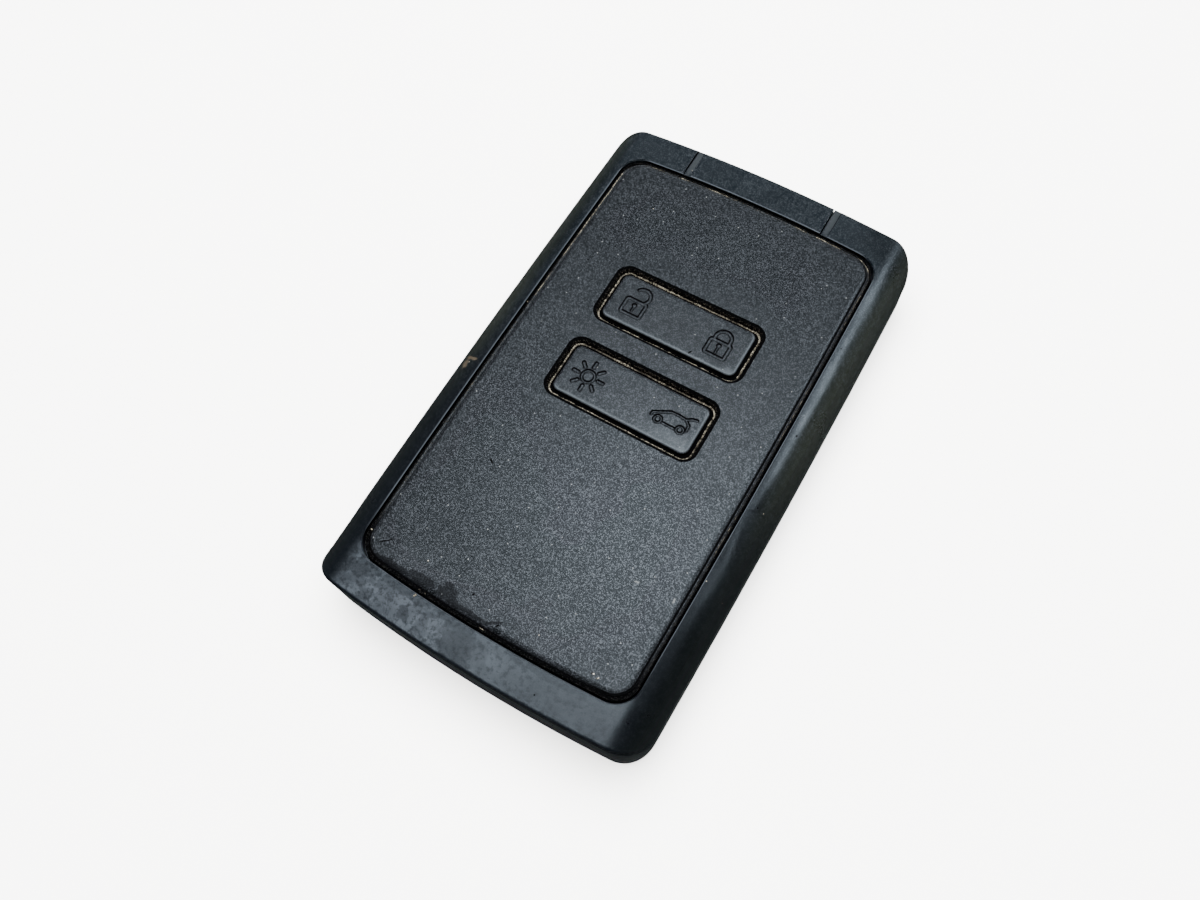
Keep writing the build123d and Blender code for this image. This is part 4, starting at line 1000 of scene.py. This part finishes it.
def buildDust(name, run, generator):
    # A low bank that follows an outline: across it the height is load (1 - t t), with t from -1 to
    # 1, and along it the load, the width and the line itself wander.
    body, slot, centre, half, corner, bow, floor, width, height, least, heaps = run
    x, y, outX, outY = roundedPath(half, corner, dust["step"])
    x = x - np.sign(x) * bow[0] * (y / half[1]) ** 2
    y = y - np.sign(y) * bow[1] * (x / half[0]) ** 2
    count, columns = len(x), dust["columns"]
    load = np.full(count, least)
    for heapX, heapY, reach, amount in heaps:
        far = (x + centre[0] - heapX) ** 2 + (y + centre[1] - heapY) ** 2
        load += amount * np.exp(-far / reach ** 2)
    patchy = sum(smoothNoise(generator, count, cell) * share for cell, share in dust["patches"])
    gain, less, most = dust["patchLoad"]
    load = np.clip(load * (gain * patchy - less), 0, most)
    t = np.linspace(-1, 1, columns)
    wander = (smoothNoise(generator, count, dust["wanderCell"]) - 0.5) * 2 * dust["wander"]
    bare, loaded = dust["widthLoad"]
    spread = width / 2 * (bare + loaded * np.clip(load, 0, 1))
    offset = wander[:, None] + spread[:, None] * t
    lumps = generator.random((count, columns))
    lumps = (lumps + np.roll(lumps, 1, 0) + np.roll(lumps, -1, 0)) / 3
    bare, loaded = dust["lumpLoad"]
    z = floor + height * load[:, None] * (1 - t ** 2) * (bare + loaded * lumps) - dust["sunk"]
    points = np.stack([x[:, None] + outX[:, None] * offset + centre[0],
                       y[:, None] + outY[:, None] * offset + centre[1], z], -1)
    faces = gridFaces(count + 1, columns)
    faces = np.where(faces >= count * columns, faces - count * columns, faces)
    mesh = meshFrom(name, points.reshape(-1, 3), faces.tolist())
    bare, loaded = dust["paleLoad"]
    markPoints(mesh, "heap", np.clip(load[:, None] * (bare + loaded * lumps), dust["leastPale"], 1))
    finishPiece(name, mesh, dustMaterial, body)


crumbs = dict(
    # tip is where the rings begin and end; waves: how many round, how high
    rings=9, spokes=12, tip=0.12, waves=((2, 0.16), (3, 0.1)), raised=0.8,
    # x, y, height of its floor, length, width, height, turn, dark to pale
    lumps=((-9.05, -34.0, 10.54, 0.22, 0.15, 0.12, 70.0, 0.9),
           (14.1, -31.55, 10.57, 0.16, 0.07, 0.05, 20.0, 0.8),
           (13.3, -31.35, 10.57, 0.1, 0.06, 0.05, 70.0, 0.7),
           (-18.35, -29.95, 10.22, 0.15, 0.1, 0.12, 0.0, 1.0),
           (-18.9, 5.9, 10.25, 0.09, 0.06, 0.08, 10.0, 0.9),
           (-16.3, -32.0, 10.2, 0.07, 0.07, 0.07, 0.0, 0.8)),
)


def buildCrumbs(name, generator):
    # Small lumps: spheres drawn out along two ways, with a radius that random waves disturb.
    rings, spokes = crumbs["rings"], crumbs["spokes"]
    polar = np.linspace(crumbs["tip"], math.pi - crumbs["tip"], rings)[:, None]
    around = np.linspace(0, 2 * math.pi, spokes, endpoint=False)[None, :]
    points, faces, pale = [], [], []
    for x, y, floor, length, width, height, turn, tone in crumbs["lumps"]:
        starts = generator.random((3, 2)) * 2 * math.pi
        radius = np.ones((rings, spokes))
        for (count, high), (first, second) in zip(crumbs["waves"], starts):
            radius += high * np.sin(count * around + first) * np.sin(count * polar + second)
        alongX = length * radius * np.sin(polar) * np.cos(around)
        alongY = width * radius * np.sin(polar) * np.sin(around)
        c, s = math.cos(math.radians(turn)), math.sin(math.radians(turn))
        start = len(points) * rings * spokes
        points.append(np.stack([
            x + c * alongX - s * alongY, y + s * alongX + c * alongY,
            floor + height * crumbs["raised"] + height * radius * np.cos(polar)], -1).reshape(-1, 3))
        pale.append(np.full(rings * spokes, tone))
        faces += gridFaces(rings, spokes, start, closeColumns=True).tolist()
        faces += [[start + spoke for spoke in reversed(range(spokes))],
                  [start + (rings - 1) * spokes + spoke for spoke in range(spokes)]]
    mesh = meshFrom(name, np.concatenate(points), faces)
    markPoints(mesh, "heap", np.concatenate(pale))
    finishPiece(name, mesh, dustMaterial, "card")


chance = np.random.default_rng(dust["seed"])
for name, run in dustRuns.items():
    buildDust(name, run, chance)
buildCrumbs("crumbs", chance)
print("dust laid")
